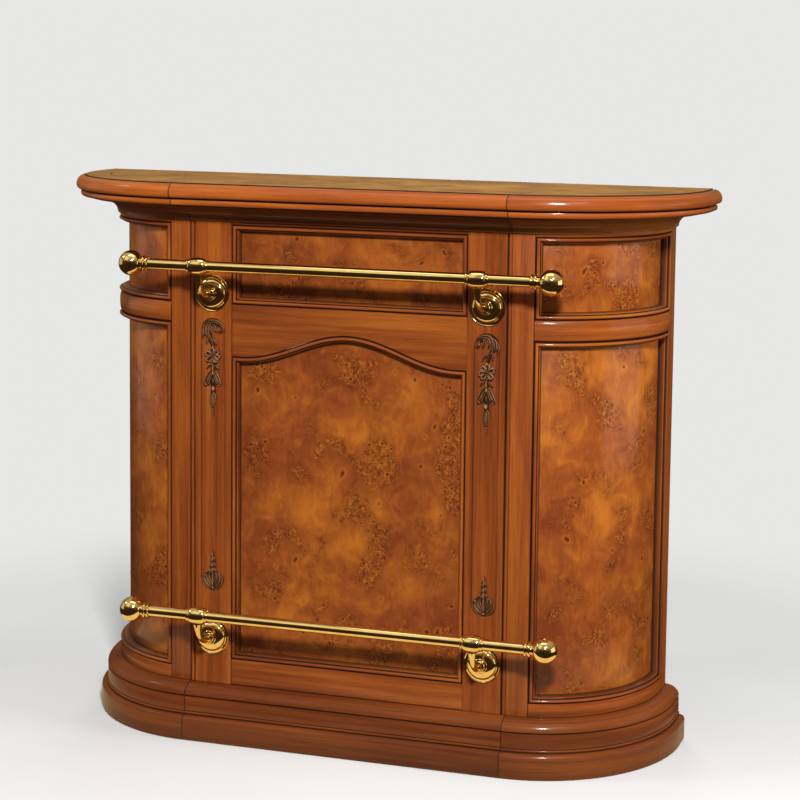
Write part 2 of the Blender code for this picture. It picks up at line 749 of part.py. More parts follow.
def build_arm(name, x, z):
    """Bent rod from inside the hub to just under the saddle, as a closed mesh."""
    reach = RAIL_STANDOFF
    rise = BRACKET_RISE - RAIL_RADIUS - SADDLE_WALL - GAP
    bend = ARM_BEND_SHARE * rise
    path = [Vector((x, FACE_Y - HUB_LENGTH / 2, z))]
    for step in range(ARM_BEND_STEPS + 1):
        angle = math.radians(90) * step / ARM_BEND_STEPS
        out = reach - bend + bend * math.sin(angle)
        up = bend * (1 - math.cos(angle))
        path.append(Vector((x, FACE_Y - out, z + up)))
    path.append(Vector((x, FACE_Y - reach, z + rise)))
    curve = bpy.data.curves.new(name, "CURVE")
    curve.dimensions = "3D"
    curve.bevel_depth = ARM_RADIUS
    curve.bevel_resolution = 2
    curve.use_fill_caps = True
    spline = curve.splines.new("POLY")
    spline.points.add(len(path) - 1)
    for point, place in zip(spline.points, path):
        point.co = (*place, 1)
    rod = bpy.data.objects.new(name, curve)
    cutters.objects.link(rod)
    bpy.context.view_layer.update()
    evaluated = rod.evaluated_get(bpy.context.evaluated_depsgraph_get())
    mesh = bpy.data.meshes.new_from_object(evaluated)
    bm = bmesh.new()
    bm.from_mesh(mesh)
    bmesh.ops.remove_doubles(bm, verts=bm.verts, dist=0.00001)
    bmesh.ops.recalc_face_normals(bm, faces=bm.faces)
    bm.to_mesh(mesh)
    bm.free()
    arm = bpy.data.objects.new(name, mesh)
    arm.matrix_world = rod.matrix_world
    bpy.data.objects.remove(rod, do_unlink=True)
    cutters.objects.link(arm)
    arm.hide_render = True
    arm.display_type = "WIRE"
    return arm


def build_bracket(name, side, rail_z):
    """Wall flange and bent arm in one casting."""
    x = side * FIELD_X
    z = rail_z - BRACKET_RISE
    turn = Matrix.Rotation(math.pi / 2, 4, "X")
    place = Matrix.Translation((x, FACE_Y - GAP, z)) @ turn
    flange = turned(name, flange_profile(), FLANGE_SIDES, place)
    join = flange.modifiers.new("arm", "BOOLEAN")
    join.operation = "UNION"
    join.object = build_arm(f"{name}_arm", x, z)


def build_rail(level, rail_z):
    """One brass rail with its two end balls, two saddles and two brackets."""
    half = BALL_X - COLLAR_START - GAP
    bm = bmesh.new()
    bmesh.ops.create_cone(
        bm, cap_ends=True, segments=RAIL_SIDES, radius1=RAIL_RADIUS, radius2=RAIL_RADIUS, depth=2 * half
    )
    bmesh.ops.transform(bm, matrix=along_x(0, rail_z, 1), verts=bm.verts)
    finish_mesh(bm, f"{level}_rail", "brass")
    for word, side in SIDES.items():
        end = along_x(BALL_X - COLLAR_START, rail_z, side)
        turned(f"{level}_finial_{word}", finial_profile(), TURNED_SIDES, end)
        middle = along_x(FIELD_X, rail_z, side)
        turned(f"{level}_saddle_{word}", saddle_profile(), TURNED_SIDES, middle, closed=True)
        build_bracket(f"{level}_bracket_{word}", side, rail_z)


clear_scene()
counter = make_collection("bar_counter")
cutters = make_collection("cutters")
build_top()
build_plinth()
build_centre()
for end_word, end_side in SIDES.items():
    build_pilaster(end_word, end_side)
    build_corner(end_word, end_side)
build_inside()
build_carvings()
for rail_level, rail_height in RAIL_HEIGHTS.items():
    build_rail(rail_level, rail_height)
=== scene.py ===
"""Looks of the bar counter: fine mouldings, carvings, turned brass and varnished veneers."""

import math
import random

import bmesh
import bpy
from mathutils import Matrix, Vector


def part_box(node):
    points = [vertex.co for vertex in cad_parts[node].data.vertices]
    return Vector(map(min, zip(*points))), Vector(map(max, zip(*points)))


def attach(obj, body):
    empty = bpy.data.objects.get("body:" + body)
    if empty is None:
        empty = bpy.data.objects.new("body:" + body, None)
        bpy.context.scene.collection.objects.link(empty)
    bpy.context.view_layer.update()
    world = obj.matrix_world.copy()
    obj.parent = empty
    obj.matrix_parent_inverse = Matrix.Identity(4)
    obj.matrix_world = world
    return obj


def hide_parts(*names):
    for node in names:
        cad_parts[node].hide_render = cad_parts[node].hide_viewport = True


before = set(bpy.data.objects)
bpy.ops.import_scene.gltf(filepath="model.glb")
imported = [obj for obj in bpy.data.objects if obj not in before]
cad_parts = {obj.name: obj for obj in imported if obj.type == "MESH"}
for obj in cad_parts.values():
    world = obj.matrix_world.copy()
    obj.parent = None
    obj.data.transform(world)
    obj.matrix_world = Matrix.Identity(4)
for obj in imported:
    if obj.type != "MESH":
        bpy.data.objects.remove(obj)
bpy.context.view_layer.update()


def low(node):
    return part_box(node)[0]


def high(node):
    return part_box(node)[1]


# Sizes read from the frame
GAP = 0.0003
FACE_Y = low("pilaster_right").y
FLAT_HALF = high("pilaster_right").x + GAP / 2
CORNER_RADIUS = high("rear_stile_right").x - FLAT_HALF
BODY_BACK = high("rear_stile_right").y
FRAME_BACK = high("pilaster_right").y - FACE_Y
RECESS = low("frieze_panel").y - FACE_Y
PANEL_BACK = high("frieze_panel").y - FACE_Y
OPENING_HALF = low("pilaster_right").x
BODY_FOOT = low("pilaster_right").z
BODY_TOP = high("pilaster_right").z
TOP_SEAM = high("top_moulding_front").x + GAP / 2
TOP_OVERHANG = FACE_Y - low("top_moulding_front").y
TOP_HEIGHT = high("top_board").z
TOP_BACK = high("top_board").y
BOARD_FOOT = low("top_board").z
BOARD_REACH = FACE_Y - low("top_board").y
MOULDING_FOOT = low("top_moulding_front").z
CORNICE_TOP = high("cornice_front").z
CORNICE_FOOT = low("cornice_front").z
CORNICE_REACH = FACE_Y - low("cornice_front").y
PLINTH_TOP = high("plinth_front").z
PLINTH_REACH = FACE_Y - low("plinth_front").y
UPPER_OPENING = (low("frieze_panel").z - GAP, high("frieze_panel").z + GAP)
LOWER_OPENING = (low("corner_lower_panel_right").z - GAP, high("corner_lower_panel_right").z + GAP)
MAIN_FOOT = low("main_panel").z - GAP
ARCH_TOP = high("main_panel").z + GAP
FIELD_X = (low("upper_saddle_right").x + high("upper_saddle_right").x) / 2
RAIL_RADIUS = (high("upper_rail").z - low("upper_rail").z) / 2
RAIL_Y = (low("upper_rail").y + high("upper_rail").y) / 2
RAIL_HALF = high("upper_rail").x
RAIL_HEIGHTS = {level: low(f"{level}_rail").z + RAIL_RADIUS for level in ("upper", "lower")}
BALL_RADIUS = (high("upper_finial_right").z - low("upper_finial_right").z) / 2
BALL_X = high("upper_finial_right").x - BALL_RADIUS
SADDLE_HALF = high("upper_saddle_right").x - FIELD_X
SADDLE_RADIUS = (high("upper_saddle_right").z - low("upper_saddle_right").z) / 2
FLANGE_RADIUS = (high("upper_bracket_right").x - low("upper_bracket_right").x) / 2
FLANGE_RISE = RAIL_HEIGHTS["upper"] - low("upper_bracket_right").z - FLANGE_RADIUS
CARVING_TOP = high("upper_carving_right").z
CARVING_FOOT = low("lower_carving_right").z

# Sizes of the fine surface
STILE_ANGLE = math.radians(10)
CORNER_STEPS = 40
ARCH_RISE = 0.050
ARCH_SHOULDER = 0.021
ARCH_STEPS = 48
MOULDING_WIDTH = 0.0135
ARRIS = 0.0006
JOINT = 0.0018
TOP_STEP = 0.0018
RAIL_SETBACK = 0.002
BAND_CROWN = 0.001
BAND_EDGE = 0.006
FIELD_HALF = 0.0245
FIELD_DEPTH = 0.004
FIELD_CLEARANCE = 0.001
BEAD_WIDTH = 0.0065
BEAD_QUIRK = 0.0026
BEAD_DEPTH = 0.003
BORDER_WIDTH = 0.046
STRINGING_WIDTH = 0.0035
HUB_LENGTH = 0.0215
ARM_BEND_SHARE = 0.96
ARM_STEPS = 18
ARM_SIDES = 24
BAND_STEPS = 16
FIELD_STEPS = 24
BALL_STEPS = 24
SADDLE_STEPS = 14
TURNED_STEPS = 48
FLANGE_STEPS = 56
JOINT_GLAZE = 0.8
PLAIN_EDGE_ANGLE = 32
CARVED_EDGE_ANGLE = 55
SIDES = {"left": -1, "right": 1}

# Camera, fitted to the photograph
CAMERA_PLACE = Vector((1.2702, -3.4407, 1.2785))
CAMERA_YAW = math.radians(-16.508)
CAMERA_DIP = math.radians(5.85)
CAMERA_ROLL = math.radians(0.882)
CAMERA_LENS = 89.20
CAMERA_SHIFT = (-0.12, -0.17)

GRAIN_SEED = 7
rng = random.Random(GRAIN_SEED)


def make_node(tree, kind, inputs=None, **settings):
    """Add a shader node; an input may be a value or another node's output."""
    made = tree.nodes.new(f"ShaderNode{kind}")
    for key, value in settings.items():
        setattr(made, key, value)
    for key, value in (inputs or {}).items():
        if isinstance(value, bpy.types.NodeSocket):
            tree.links.new(value, made.inputs[key])
        else:
            made.inputs[key].default_value = value
    return made


def start_material(name, **shader_values):
    material = bpy.data.materials.new(name)
    material.use_nodes = True
    tree = material.node_tree
    shader = tree.nodes["Principled BSDF"]
    for key, value in shader_values.items():
        shader.inputs[key.replace("_", " ")].default_value = value
    return material, tree, shader


def place_source(tree, source):
    """Coordinates in metres with X along the grain: a stored attribute, or the object's own axes."""
    if source == "grain":
        return make_node(tree, "Attribute", attribute_name="grain").outputs["Vector"]
    place = make_node(tree, "TexCoord").outputs["Object"]
    turn = (0, math.radians(90), 0) if source == "vertical" else (0, 0, 0)
    return make_node(tree, "Mapping", {"Vector": place, "Rotation": turn}).outputs["Vector"]


def stretched(tree, place, scale):
    return make_node(tree, "Mapping", {"Vector": place, "Scale": scale}).outputs["Vector"]


def noise(tree, place, scale=1.0, detail=4.0, roughness=0.5, distortion=0.0):
    inputs = {"Scale": scale, "Detail": detail, "Roughness": roughness, "Distortion": distortion}
    return make_node(tree, "TexNoise", {"Vector": place, **inputs}).outputs["Fac"]


def opaque(colour):
    """A colour with its alpha; another node's output stays as it is."""
    return (*colour, 1) if isinstance(colour, tuple) else colour


def ramp(tree, factor, stops):
    """Colour ramp; a stop's colour may be one grey number."""
    made = make_node(tree, "ValToRGB", {"Fac": factor})
    elements = made.color_ramp.elements
    while len(elements) < len(stops):
        elements.new(0.5)
    for element, (place, colour) in zip(elements, stops):
        element.position = place
        element.color = opaque(colour if isinstance(colour, tuple) else (colour, colour, colour))
    return made.outputs["Color"]


def calculate(tree, operation, *values):
    return make_node(tree, "Math", dict(enumerate(values)), operation=operation).outputs[0]


def vector_maths(tree, operation, *values):
    made = make_node(tree, "VectorMath", dict(enumerate(values)), operation=operation)
    return made.outputs["Vector"]


def weighted(tree, *pairs):
    """Sum of outputs, each times its weight."""
    total = None
    for output, weight in pairs:
        part = calculate(tree, "MULTIPLY", output, weight)
        total = part if total is None else calculate(tree, "ADD", total, part)
    return total


def mix_colours(tree, factor, first, second, blend="MIX"):
    """Mix colours; a Mix node takes them at its inputs 6 and 7, and its output 2 gives the result."""
    inputs = {0: factor, 6: opaque(first), 7: opaque(second)}
    return make_node(tree, "Mix", inputs, data_type="RGBA", blend_type=blend).outputs[2]


def dimmed(colour, share):
    return tuple(share * value for value in colour)


def stained(tree, colour, factor, mask, marks):
    """Tint a colour where the mask and a ramp of the factor allow it; a mark is (stops, tint)."""
    for stops, tint in marks:
        strength = calculate(tree, "MULTIPLY", ramp(tree, factor, stops), mask)
        colour = mix_colours(tree, strength, colour, tint)
    return colour


def joint_and_shade_darkened(tree, colour):
    """Darken the joints, which are dark in the wood, and the quirks and recesses, where the darkening is
    painted shade.
    """
    glaze = make_node(tree, "Attribute", attribute_name="glaze").outputs["Fac"]
    return mix_colours(tree, glaze, colour, JOINT_AND_SHADE_TONE)


def add_bump(tree, shader, height, strength, distance):
    bump = make_node(tree, "Bump", {"Height": height, "Strength": strength, "Distance": distance})
    tree.links.new(bump.outputs["Normal"], shader.inputs["Normal"])


# Tones of each finish, from dark to light
# Dark tone for the joints, and for painted shade in quirks, recesses and the cornice's cove
JOINT_AND_SHADE_TONE = (0.016, 0.008, 0.005)
BRASS = ((0.81, 0.54, 0.17), (0.95, 0.69, 0.27))
# Darkest for hollows and ground, lightest for crests: partly wear, partly painted shade and highlight
BRONZE = ((0.028, 0.010, 0.005), (0.150, 0.049, 0.017), (0.440, 0.225, 0.100))
CHERRY = ((0.160, 0.033, 0.007), (0.270, 0.061, 0.010), (0.400, 0.110, 0.014))
RAIL_CHERRY = ((0.135, 0.028, 0.006), (0.225, 0.051, 0.009), (0.335, 0.090, 0.012))
# A lighter copy of the cherry for the top moulding: painted highlight along the bullnose
HIGHLIGHT_CHERRY = ((0.220, 0.045, 0.008), (0.360, 0.080, 0.012), (0.510, 0.138, 0.016))
PLINTH = ((0.105, 0.023, 0.006), (0.162, 0.038, 0.008), (0.232, 0.058, 0.010))
BURL = ((0.180, 0.036, 0.009), (0.275, 0.067, 0.011), (0.410, 0.121, 0.013))
# A darker copy of the burl for the frieze panel: painted shade under the top's overhang
SHADED_BURL = ((0.130, 0.026, 0.007), (0.205, 0.047, 0.009), (0.330, 0.088, 0.012))
TOP_BURL = ((0.290, 0.110, 0.016), (0.480, 0.200, 0.030), (0.660, 0.320, 0.060))
INSIDE = ((0.200, 0.075, 0.025), (0.280, 0.115, 0.040), (0.350, 0.155, 0.060))
INK = ((0.015, 0.008, 0.005), (0.025, 0.012, 0.007), (0.040, 0.018, 0.010))


def make_cherry(name, source, tones, coat=0.45):
    """Straight-grained cherry: broad tone, streaks and fine fibres along the grain."""
    material, tree, shader = start_material(
        name, Roughness=0.45, Specular_IOR_Level=0.08,
        Coat_Weight=coat, Coat_Roughness=0.13, Coat_IOR=1.5,
    )
    dark, middle, light = tones
    place = place_source(tree, source)
    tone = noise(tree, stretched(tree, place, (1.8, 13, 13)), detail=2, distortion=0.5)
    streak = noise(tree, stretched(tree, place, (2.8, 95, 95)), detail=5, roughness=0.62, distortion=0.3)
    fibre = noise(tree, stretched(tree, place, (28, 1000, 1000)), detail=2)
    figure = weighted(tree, (tone, 0.50), (streak, 0.50))
    colour = ramp(tree, figure, ((0.37, dark), (0.50, middle), (0.65, light)))
    fibre_tone = ramp(tree, fibre, ((0.30, 0.58), (0.62, 1.0)))
    colour = mix_colours(tree, 0.5, colour, fibre_tone, "MULTIPLY")
    tree.links.new(joint_and_shade_darkened(tree, colour), shader.inputs["Base Color"])
    add_bump(tree, shader, fibre, 0.08, 0.0003)
    return material


def make_burl(name, source, tones):
    """Burl veneer: soft clouds, flame, and clusters of small dark eyes and curls."""
    material, tree, shader = start_material(
        name, Roughness=0.42, Specular_IOR_Level=0.08,
        Coat_Weight=0.45, Coat_Roughness=0.16, Coat_IOR=1.5,
    )
    dark, middle, light = tones
    place = place_source(tree, source)
    bend = make_node(tree, "TexNoise", {"Vector": place, "Scale": 14.0, "Detail": 2.0})
    centred = vector_maths(tree, "SUBTRACT", bend.outputs["Color"], (0.5, 0.5, 0.5))
    moved = vector_maths(tree, "MULTIPLY", centred, (0.05, 0.05, 0.05))
    warped = vector_maths(tree, "ADD", place, moved)

    cloud = noise(tree, warped, scale=7, detail=3)
    blotch = noise(tree, warped, scale=34, detail=4, roughness=0.6, distortion=0.6)
    flame = noise(tree, stretched(tree, warped, (24, 190, 120)), detail=4, distortion=0.7)
    figure = weighted(tree, (cloud, 0.56), (blotch, 0.26), (flame, 0.18))
    colour = ramp(tree, figure, ((0.38, dark), (0.49, middle), (0.62, light)))

    crowd = noise(tree, warped, scale=12, detail=4)
    cluster = ramp(tree, crowd, ((0.53, 0.0), (0.59, 1.0)))
    shade = ramp(tree, crowd, ((0.46, 0.0), (0.58, 0.60)))
    colour = mix_colours(tree, shade, colour, dimmed(dark, 0.80))
    swirl = noise(tree, place, scale=120, detail=3, distortion=1.6)
    curls = ((((0.36, 0.75), (0.46, 0.0)), light), (((0.53, 0.0), (0.63, 0.68)), dimmed(dark, 0.42)))
    colour = stained(tree, colour, swirl, cluster, curls)
    for scale, radius, gate, mask in ((105.0, 0.26, 0.42, cluster), (26.0, 0.12, 0.58, None)):
        cells = make_node(tree, "TexVoronoi", {"Vector": warped, "Scale": scale})
        chosen = calculate(tree, "GREATER_THAN", cells.outputs["Color"], gate)
        if mask:
            chosen = calculate(tree, "MULTIPLY", chosen, mask)
        rim = ((0.9 * radius, 0.0), (1.3 * radius, 0.4), (2.1 * radius, 0.0))
        pupil = ((0.55 * radius, 0.76), (radius, 0.0))
        eyes = ((rim, light), (pupil, dimmed(dark, 0.25)))
        colour = stained(tree, colour, cells.outputs["Distance"], chosen, eyes)
    tree.links.new(joint_and_shade_darkened(tree, colour), shader.inputs["Base Color"])
    add_bump(tree, shader, flame, 0.04, 0.0004)
    return material


def make_brass():
    material, tree, shader = start_material("polished_brass", Metallic=1.0)
    smear = noise(tree, place_source(tree, "across"), scale=55, detail=4, roughness=0.6)
    deep, pale = BRASS
    tree.links.new(ramp(tree, smear, ((0.30, deep), (0.70, pale))), shader.inputs["Base Color"])
    polish = ramp(tree, smear, ((0.35, 0.04), (0.75, 0.10)))
    tree.links.new(polish, shader.inputs["Roughness"])
    return material


def make_bronze():
    """Dark antiqued carving, lighter where it stands out: partly rubbed wear, partly painted highlight on the
    crests and painted shade in the hollows.
    """
    material, tree, shader = start_material("antiqued_carving", Roughness=0.42, Specular_IOR_Level=0.22)
    proud = make_node(tree, "Attribute", attribute_name="proud").outputs["Fac"]
    grime = noise(tree, place_source(tree, "across"), scale=260, detail=3)
    worn_and_lit = weighted(tree, (proud, 0.72), (grime, 0.42))
    dark, middle, light = BRONZE
    colour = ramp(tree, worn_and_lit, ((0.26, dark), (0.60, middle), (1.00, light)))
    tree.links.new(colour, shader.inputs["Base Color"])
    add_bump(tree, shader, grime, 0.3, 0.0004)
    return material


FINISHES = {
    "cherry": make_cherry("cherry", "grain", CHERRY),
    "cherry_upright": make_cherry("cherry_upright", "vertical", CHERRY),
    # Lighter copy of the cherry: painted highlight on the top moulding
    "cherry_painted_highlight": make_cherry("cherry_painted_highlight", "grain", HIGHLIGHT_CHERRY),
    "cherry_rail": make_cherry("cherry_rail", "grain", RAIL_CHERRY),
    "plinth_wood": make_cherry("plinth_cherry", "grain", PLINTH, coat=0.25),
    "plinth_level": make_cherry("plinth_level", "across", PLINTH, coat=0.25),
    "burl": make_burl("burl_veneer", "grain", BURL),
    "burl_flat": make_burl("burl_flat", "vertical", BURL),
    # Darker copy of the burl: painted shade on the frieze panel
    "burl_frieze_shaded": make_burl("burl_frieze_shaded", "vertical", SHADED_BURL),
    "top_burl": make_burl("top_burl", "grain", TOP_BURL),
    "stringing": make_cherry("dark_stringing", "grain", INK),
    "inside_upright": make_cherry("inside_upright", "vertical", INSIDE, coat=0.2),
    "inside_level": make_cherry("inside_level", "across", INSIDE, coat=0.2),
    "brass": make_brass(),
    "bronze": make_bronze(),
}


class Plan:
    """The counter's plan: a flat front, a quarter round, then a straight side.

    A place along it is s, the distance from the middle of the front measured on the
    frame's face; right of the middle is positive.
    """

    def __init__(self, seam):
        self.seam = seam
        self.turned = seam + CORNER_RADIUS * math.pi / 2

    def point(self, s, out, z):
        side = -1 if s < 0 else 1
        s = abs(s)
        if s <= self.seam:
            return Vector((side * s, FACE_Y - out, z))
        radius = CORNER_RADIUS + out
        if s >= self.turned:
            y = FACE_Y + CORNER_RADIUS + s - self.turned
            return Vector((side * (self.seam + radius), y, z))
        angle = (s - self.seam) / CORNER_RADIUS
        return Vector((
            side * (self.seam + radius * math.sin(angle)),
            FACE_Y + CORNER_RADIUS - radius * math.cos(angle),
            z,
        ))

    def stations(self, start, end):
        """Places from start to end, both positive, with fine steps on the quarter round."""
        step = CORNER_RADIUS * math.pi / 2 / CORNER_STEPS
        first = max(start, self.seam)
        last = min(end, self.turned)
        count = max(1, round((last - first) / step))
        inner = [first + (last - first) * index / count for index in range(count + 1)]
        return ([start] if start < first else []) + inner + ([end] if end > last else [])

    def side_end(self, back):
        return self.turned + back - FACE_Y - CORNER_RADIUS


body = Plan(FLAT_HALF)
top = Plan(TOP_SEAM)


def add_object(name, data):
    item = bpy.data.objects.new(name, data)
    bpy.context.scene.collection.objects.link(item)
    return item


class Build:
    """A mesh in the making; every vertex keeps its place in the grain and how dark it is painted at joints
    and in shade.
    """

    def __init__(self):
        self.bm = bmesh.new()
        self.grain = self.bm.verts.layers.float_vector.new("grain")
        # How dark a vertex is painted: joint darkening, and painted shade in quirks and recesses
        self.glaze = self.bm.verts.layers.float.new("glaze")
        self.seed = Vector([rng.uniform(0, 40) for _ in range(3)])

    def vert(self, place, grain, glaze=0.0):
        made = self.bm.verts.new(place)
        made[self.grain] = Vector(grain) + self.seed
        made[self.glaze] = glaze
        return made

    def skin(self, rings, closed=True, loop=False, material=0):
        """Quads between successive rings."""
        pairs = list(zip(rings, rings[1:])) + ([(rings[-1], rings[0])] if loop else [])
        for ring, following in pairs:
            count = len(ring) if closed else len(ring) - 1
            for index in range(count):
                after = (index + 1) % len(ring)
                face = self.bm.faces.new((ring[index], ring[after], following[after], following[index]))
                face.material_index = material

    def close(self, rings):
        """Faces over both ends of a skin."""
        self.bm.faces.new(rings[0])
        self.bm.faces.new(rings[-1][::-1])

    def finish(self, node, *finishes, name=None, sharp=PLAIN_EDGE_ANGLE):
        """Make the object that replaces a node; its edges stay hard from an angle in degrees on."""
        name = name or f"fine_{node}"
        bmesh.ops.recalc_face_normals(self.bm, faces=self.bm.faces)
        mesh = bpy.data.meshes.new(name)
        self.bm.to_mesh(mesh)
        self.bm.free()
        mesh.shade_smooth()
        mesh.set_sharp_from_angle(angle=math.radians(sharp))
        piece = add_object(name, mesh)
        for finish in finishes:
            mesh.materials.append(FINISHES[finish])
        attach(piece, "root")
        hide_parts(node)


def soften(profile):
    """Round the square corners of a closed (x, y, painted shade) profile."""
    soft = []
    for index, (x, y, glaze) in enumerate(profile):
        here = Vector((x, y))
        before = Vector(profile[index - 1][:2]) - here
        after = Vector(profile[(index + 1) % len(profile)][:2]) - here
        ends = (here + before.normalized() * ARRIS, here + after.normalized() * ARRIS)
        middle = here + 0.3 * (ends[0] + ends[1] - 2 * here)
        for point in (ends[0], middle, ends[1]):
            soft.append((point.x, point.y, glaze))
    return soft


def slab(outs, heights):
    """A board's section as a closed profile."""
    inner, outer = outs
    foot, head = heights
    return soften([(inner, foot, 0), (outer, foot, 0), (outer, head, 0), (inner, head, 0)])


def distances(points):
    """How far along the points each of them lies."""
    runs = [0.0]
    for first, second in zip(points, points[1:]):
        runs.append(runs[-1] + math.dist(first[:2], second[:2]))
    return runs


def sweep(node, plan, profile, stations, finish, side=1, upright=False, open_end=False):
    """Carry a closed (out, z, painted shade) profile along the plan; its ends are darkened as joints.

    An open end is the sawn wood at the counter's back, with no darkening.
    """
    build = Build()
    around = distances(profile)
    start, *inner, end = stations
    places = [side * s for s in (start, start + JOINT, *inner, end - JOINT, end)]
    rings = []
    for index, s in enumerate(places):
        last = index == len(places) - 1
        joint = JOINT_GLAZE if index == 0 or last else 0.0
        ring = []
        for (out, z, glaze), across in zip(profile, around):
            grain = (z, s, out) if upright else (s, across, 0)
            shade = 0.0 if last and open_end else max(glaze, joint)
            ring.append(build.vert(plan.point(s, out, z), grain, shade))
        rings.append(ring)
    build.skin(rings)
    build.close(rings)
    build.finish(node, finish)


def inset(points, distance):
    """Move a counter-clockwise outline inwards and keep its corners mitred."""
    moved = []
    for index, point in enumerate(points):
        before = (point - points[index - 1]).normalized()
        after = (points[(index + 1) % len(points)] - point).normalized()
        first = Vector((-before.y, before.x))
        second = Vector((-after.y, after.x))
        moved.append(point + distance * (first + second) / (1 + first.dot(second)))
    return moved


def front_rail(node, outline, finish):
    """A flat rail with softened arrises, cut to a counter-clockwise (x, z) outline."""
    build = Build()
    face = RAIL_SETBACK
    # Each level: (inset, depth, painted shade along the arris)
    levels = (
        (0, FRAME_BACK, 0.0), (0, face + ARRIS, 0.7), (0.3 * ARRIS, face + 0.3 * ARRIS, 0.4),
        (ARRIS, face, 0.15), (2 * ARRIS, face, 0.0),
    )
    rings = []
    for distance, depth, glaze in levels:
        rings.append([
            build.vert((point.x, FACE_Y + depth, point.y), (point.x, point.y, 0), glaze)
            for point in inset(outline, distance)
        ])
    build.skin(rings)
    build.close(rings)
    build.finish(node, finish)


def shares(steps):
    """Even shares from 0 to 1."""
    return [step / steps for step in range(steps + 1)]


def ellipse(start, end, across, rise, steps, centre):
    """Points on part of an ellipse, angles in degrees."""
    for share in shares(steps):
        angle = math.radians(start + (end - start) * share)
        yield centre[0] + across * math.cos(angle), centre[1] + rise * math.sin(angle)


def shaded(points, start=0.0, end=0.0):
    """Give a profile's points painted shade: start for the first one, end for the last two."""
    points = list(points)
    shades = [start] + [0.0] * (len(points) - 3) + [end, end]
    return [(*point, shade) for point, shade in zip(points, shades)]


def panel_section():
    """Section of a panel moulding: (inwards from the opening, depth, painted shade in its quirks and slopes).
    """
    back = RECESS - GAP
    section = [(GAP, back, 1.0), (GAP, 0.0014, 1.0), (0.0013, 0.0030, 1.0), (0.0024, 0.0018, 0.9)]
    shades = (0.6, 0.1, 0.0, 0.0, 0.0, 0.0, 0.1, 0.6)
    bead = ellipse(180, 360, 0.0028, 0.0028, 7, (0.0053, 0.0010))
    section += [(across, depth, shade) for (across, depth), shade in zip(bead, shades)]
    return section + [
        (0.0083, 0.0034, 1.0), (0.0093, 0.0048, 1.0), (0.0098, 0.0046, 0.3),
        (0.0107, 0.0052, 0.0), (0.0114, 0.0068, 0.5), (0.0121, 0.0095, 0.6),
        (MOULDING_WIDTH, 0.72 * RECESS, 0.8), (MOULDING_WIDTH, back, 1.0),
    ]


def moulding_frame(node, outline):
    """A mitred moulding that lines an opening given as (s, z) points."""
    build = Build()
    runs = distances(outline)
    rings = []
    for distance, depth, glaze in panel_section():
        rings.append([
            build.vert(body.point(point.x, -depth, point.y), (run, distance, depth), glaze)
            for point, run in zip(inset(outline, distance), runs)
        ])
    build.skin(rings, loop=True)
    build.finish(node, "cherry")


def arch_curve(half):
    """Points of the serpentine arch from right to left."""
    spring = ARCH_TOP - ARCH_RISE
    reach = OPENING_HALF - ARCH_SHOULDER
    points = [Vector((half, spring))]
    for share in shares(ARCH_STEPS):
        x = reach * (1 - 2 * share)
        points.append(Vector((x, spring + ARCH_RISE * (0.5 + 0.5 * math.cos(math.pi * x / reach)))))
    return points + [Vector((-half, spring))]


def rectangle(half, foot, head):
    return [Vector(corner) for corner in ((-half, foot), (half, foot), (half, head), (-half, head))]


def top_moulding_profile():
    """Bullnose, quirk and fillet outside; the rebate for the board inside."""
    joint = BOARD_REACH + GAP
    inner = joint - 0.034
    crown = TOP_HEIGHT - TOP_STEP
    nose = crown - 0.0172
    # The third value of each point is painted shade in the rebate, the quirk and under the nose
    profile = [(joint, crown - 0.0014, 1.0), (joint + 0.0014, crown - 0.0008, 1.0)]
    profile += shaded(ellipse(90, 0, 0.0150, crown - nose, 12, (TOP_OVERHANG - 0.0150, nose)), start=0.5)
    under = list(ellipse(0, -80, 0.0080, 0.0088, 6, (TOP_OVERHANG - 0.0080, nose)))[1:]
    profile += shaded(under, end=0.7)
    fillet = TOP_OVERHANG - 0.0085
    shelf = under[-1][1]
    profile += [
        (fillet - 0.0034, shelf - 0.0012, 1.0), (fillet - 0.0024, shelf - 0.0026, 1.0),
        (fillet - 0.0004, shelf - 0.0030, 0.6), (fillet, shelf - 0.0038, 0.0),
    ]
    profile += shaded(ellipse(0, -90, 0.0055, 0.0055, 5, (fillet - 0.0055, MOULDING_FOOT + 0.0055)), end=0.6)
    return profile + [
        (CORNICE_REACH + 0.001, MOULDING_FOOT, 1.0), (inner, MOULDING_FOOT, 1.0),
        (inner, BOARD_FOOT - GAP, 1.0), (joint, BOARD_FOOT - GAP, 1.0),
    ]


def cornice_profile():
    """Cavetto between two small fillets."""
    fillet = 0.0032
    foot = 0.004
    hollow = CORNICE_REACH - 0.0016
    depth = CORNICE_TOP - CORNICE_FOOT - 2 * fillet
    cove = ellipse(90, 180, hollow - foot - 0.0010, depth, 14, (hollow, CORNICE_FOOT + fillet))
    return [
        (GAP, CORNICE_TOP, 1.0), (CORNICE_REACH, CORNICE_TOP, 0.9),
        (CORNICE_REACH, CORNICE_TOP - 0.6 * fillet, 0.3), (CORNICE_REACH - 0.0008, CORNICE_TOP - fillet, 0.6),
        # The cove is painted darker, as the shadow under the top's overhang
        *((out, z, 0.45) for out, z in cove),
        (foot + 0.0010, CORNICE_FOOT + 0.8 * fillet, 0.8), (foot, CORNICE_FOOT + 0.5 * fillet, 0.2),
        (foot, CORNICE_FOOT, 0.5), (GAP, CORNICE_FOOT, 1.0),
    ]


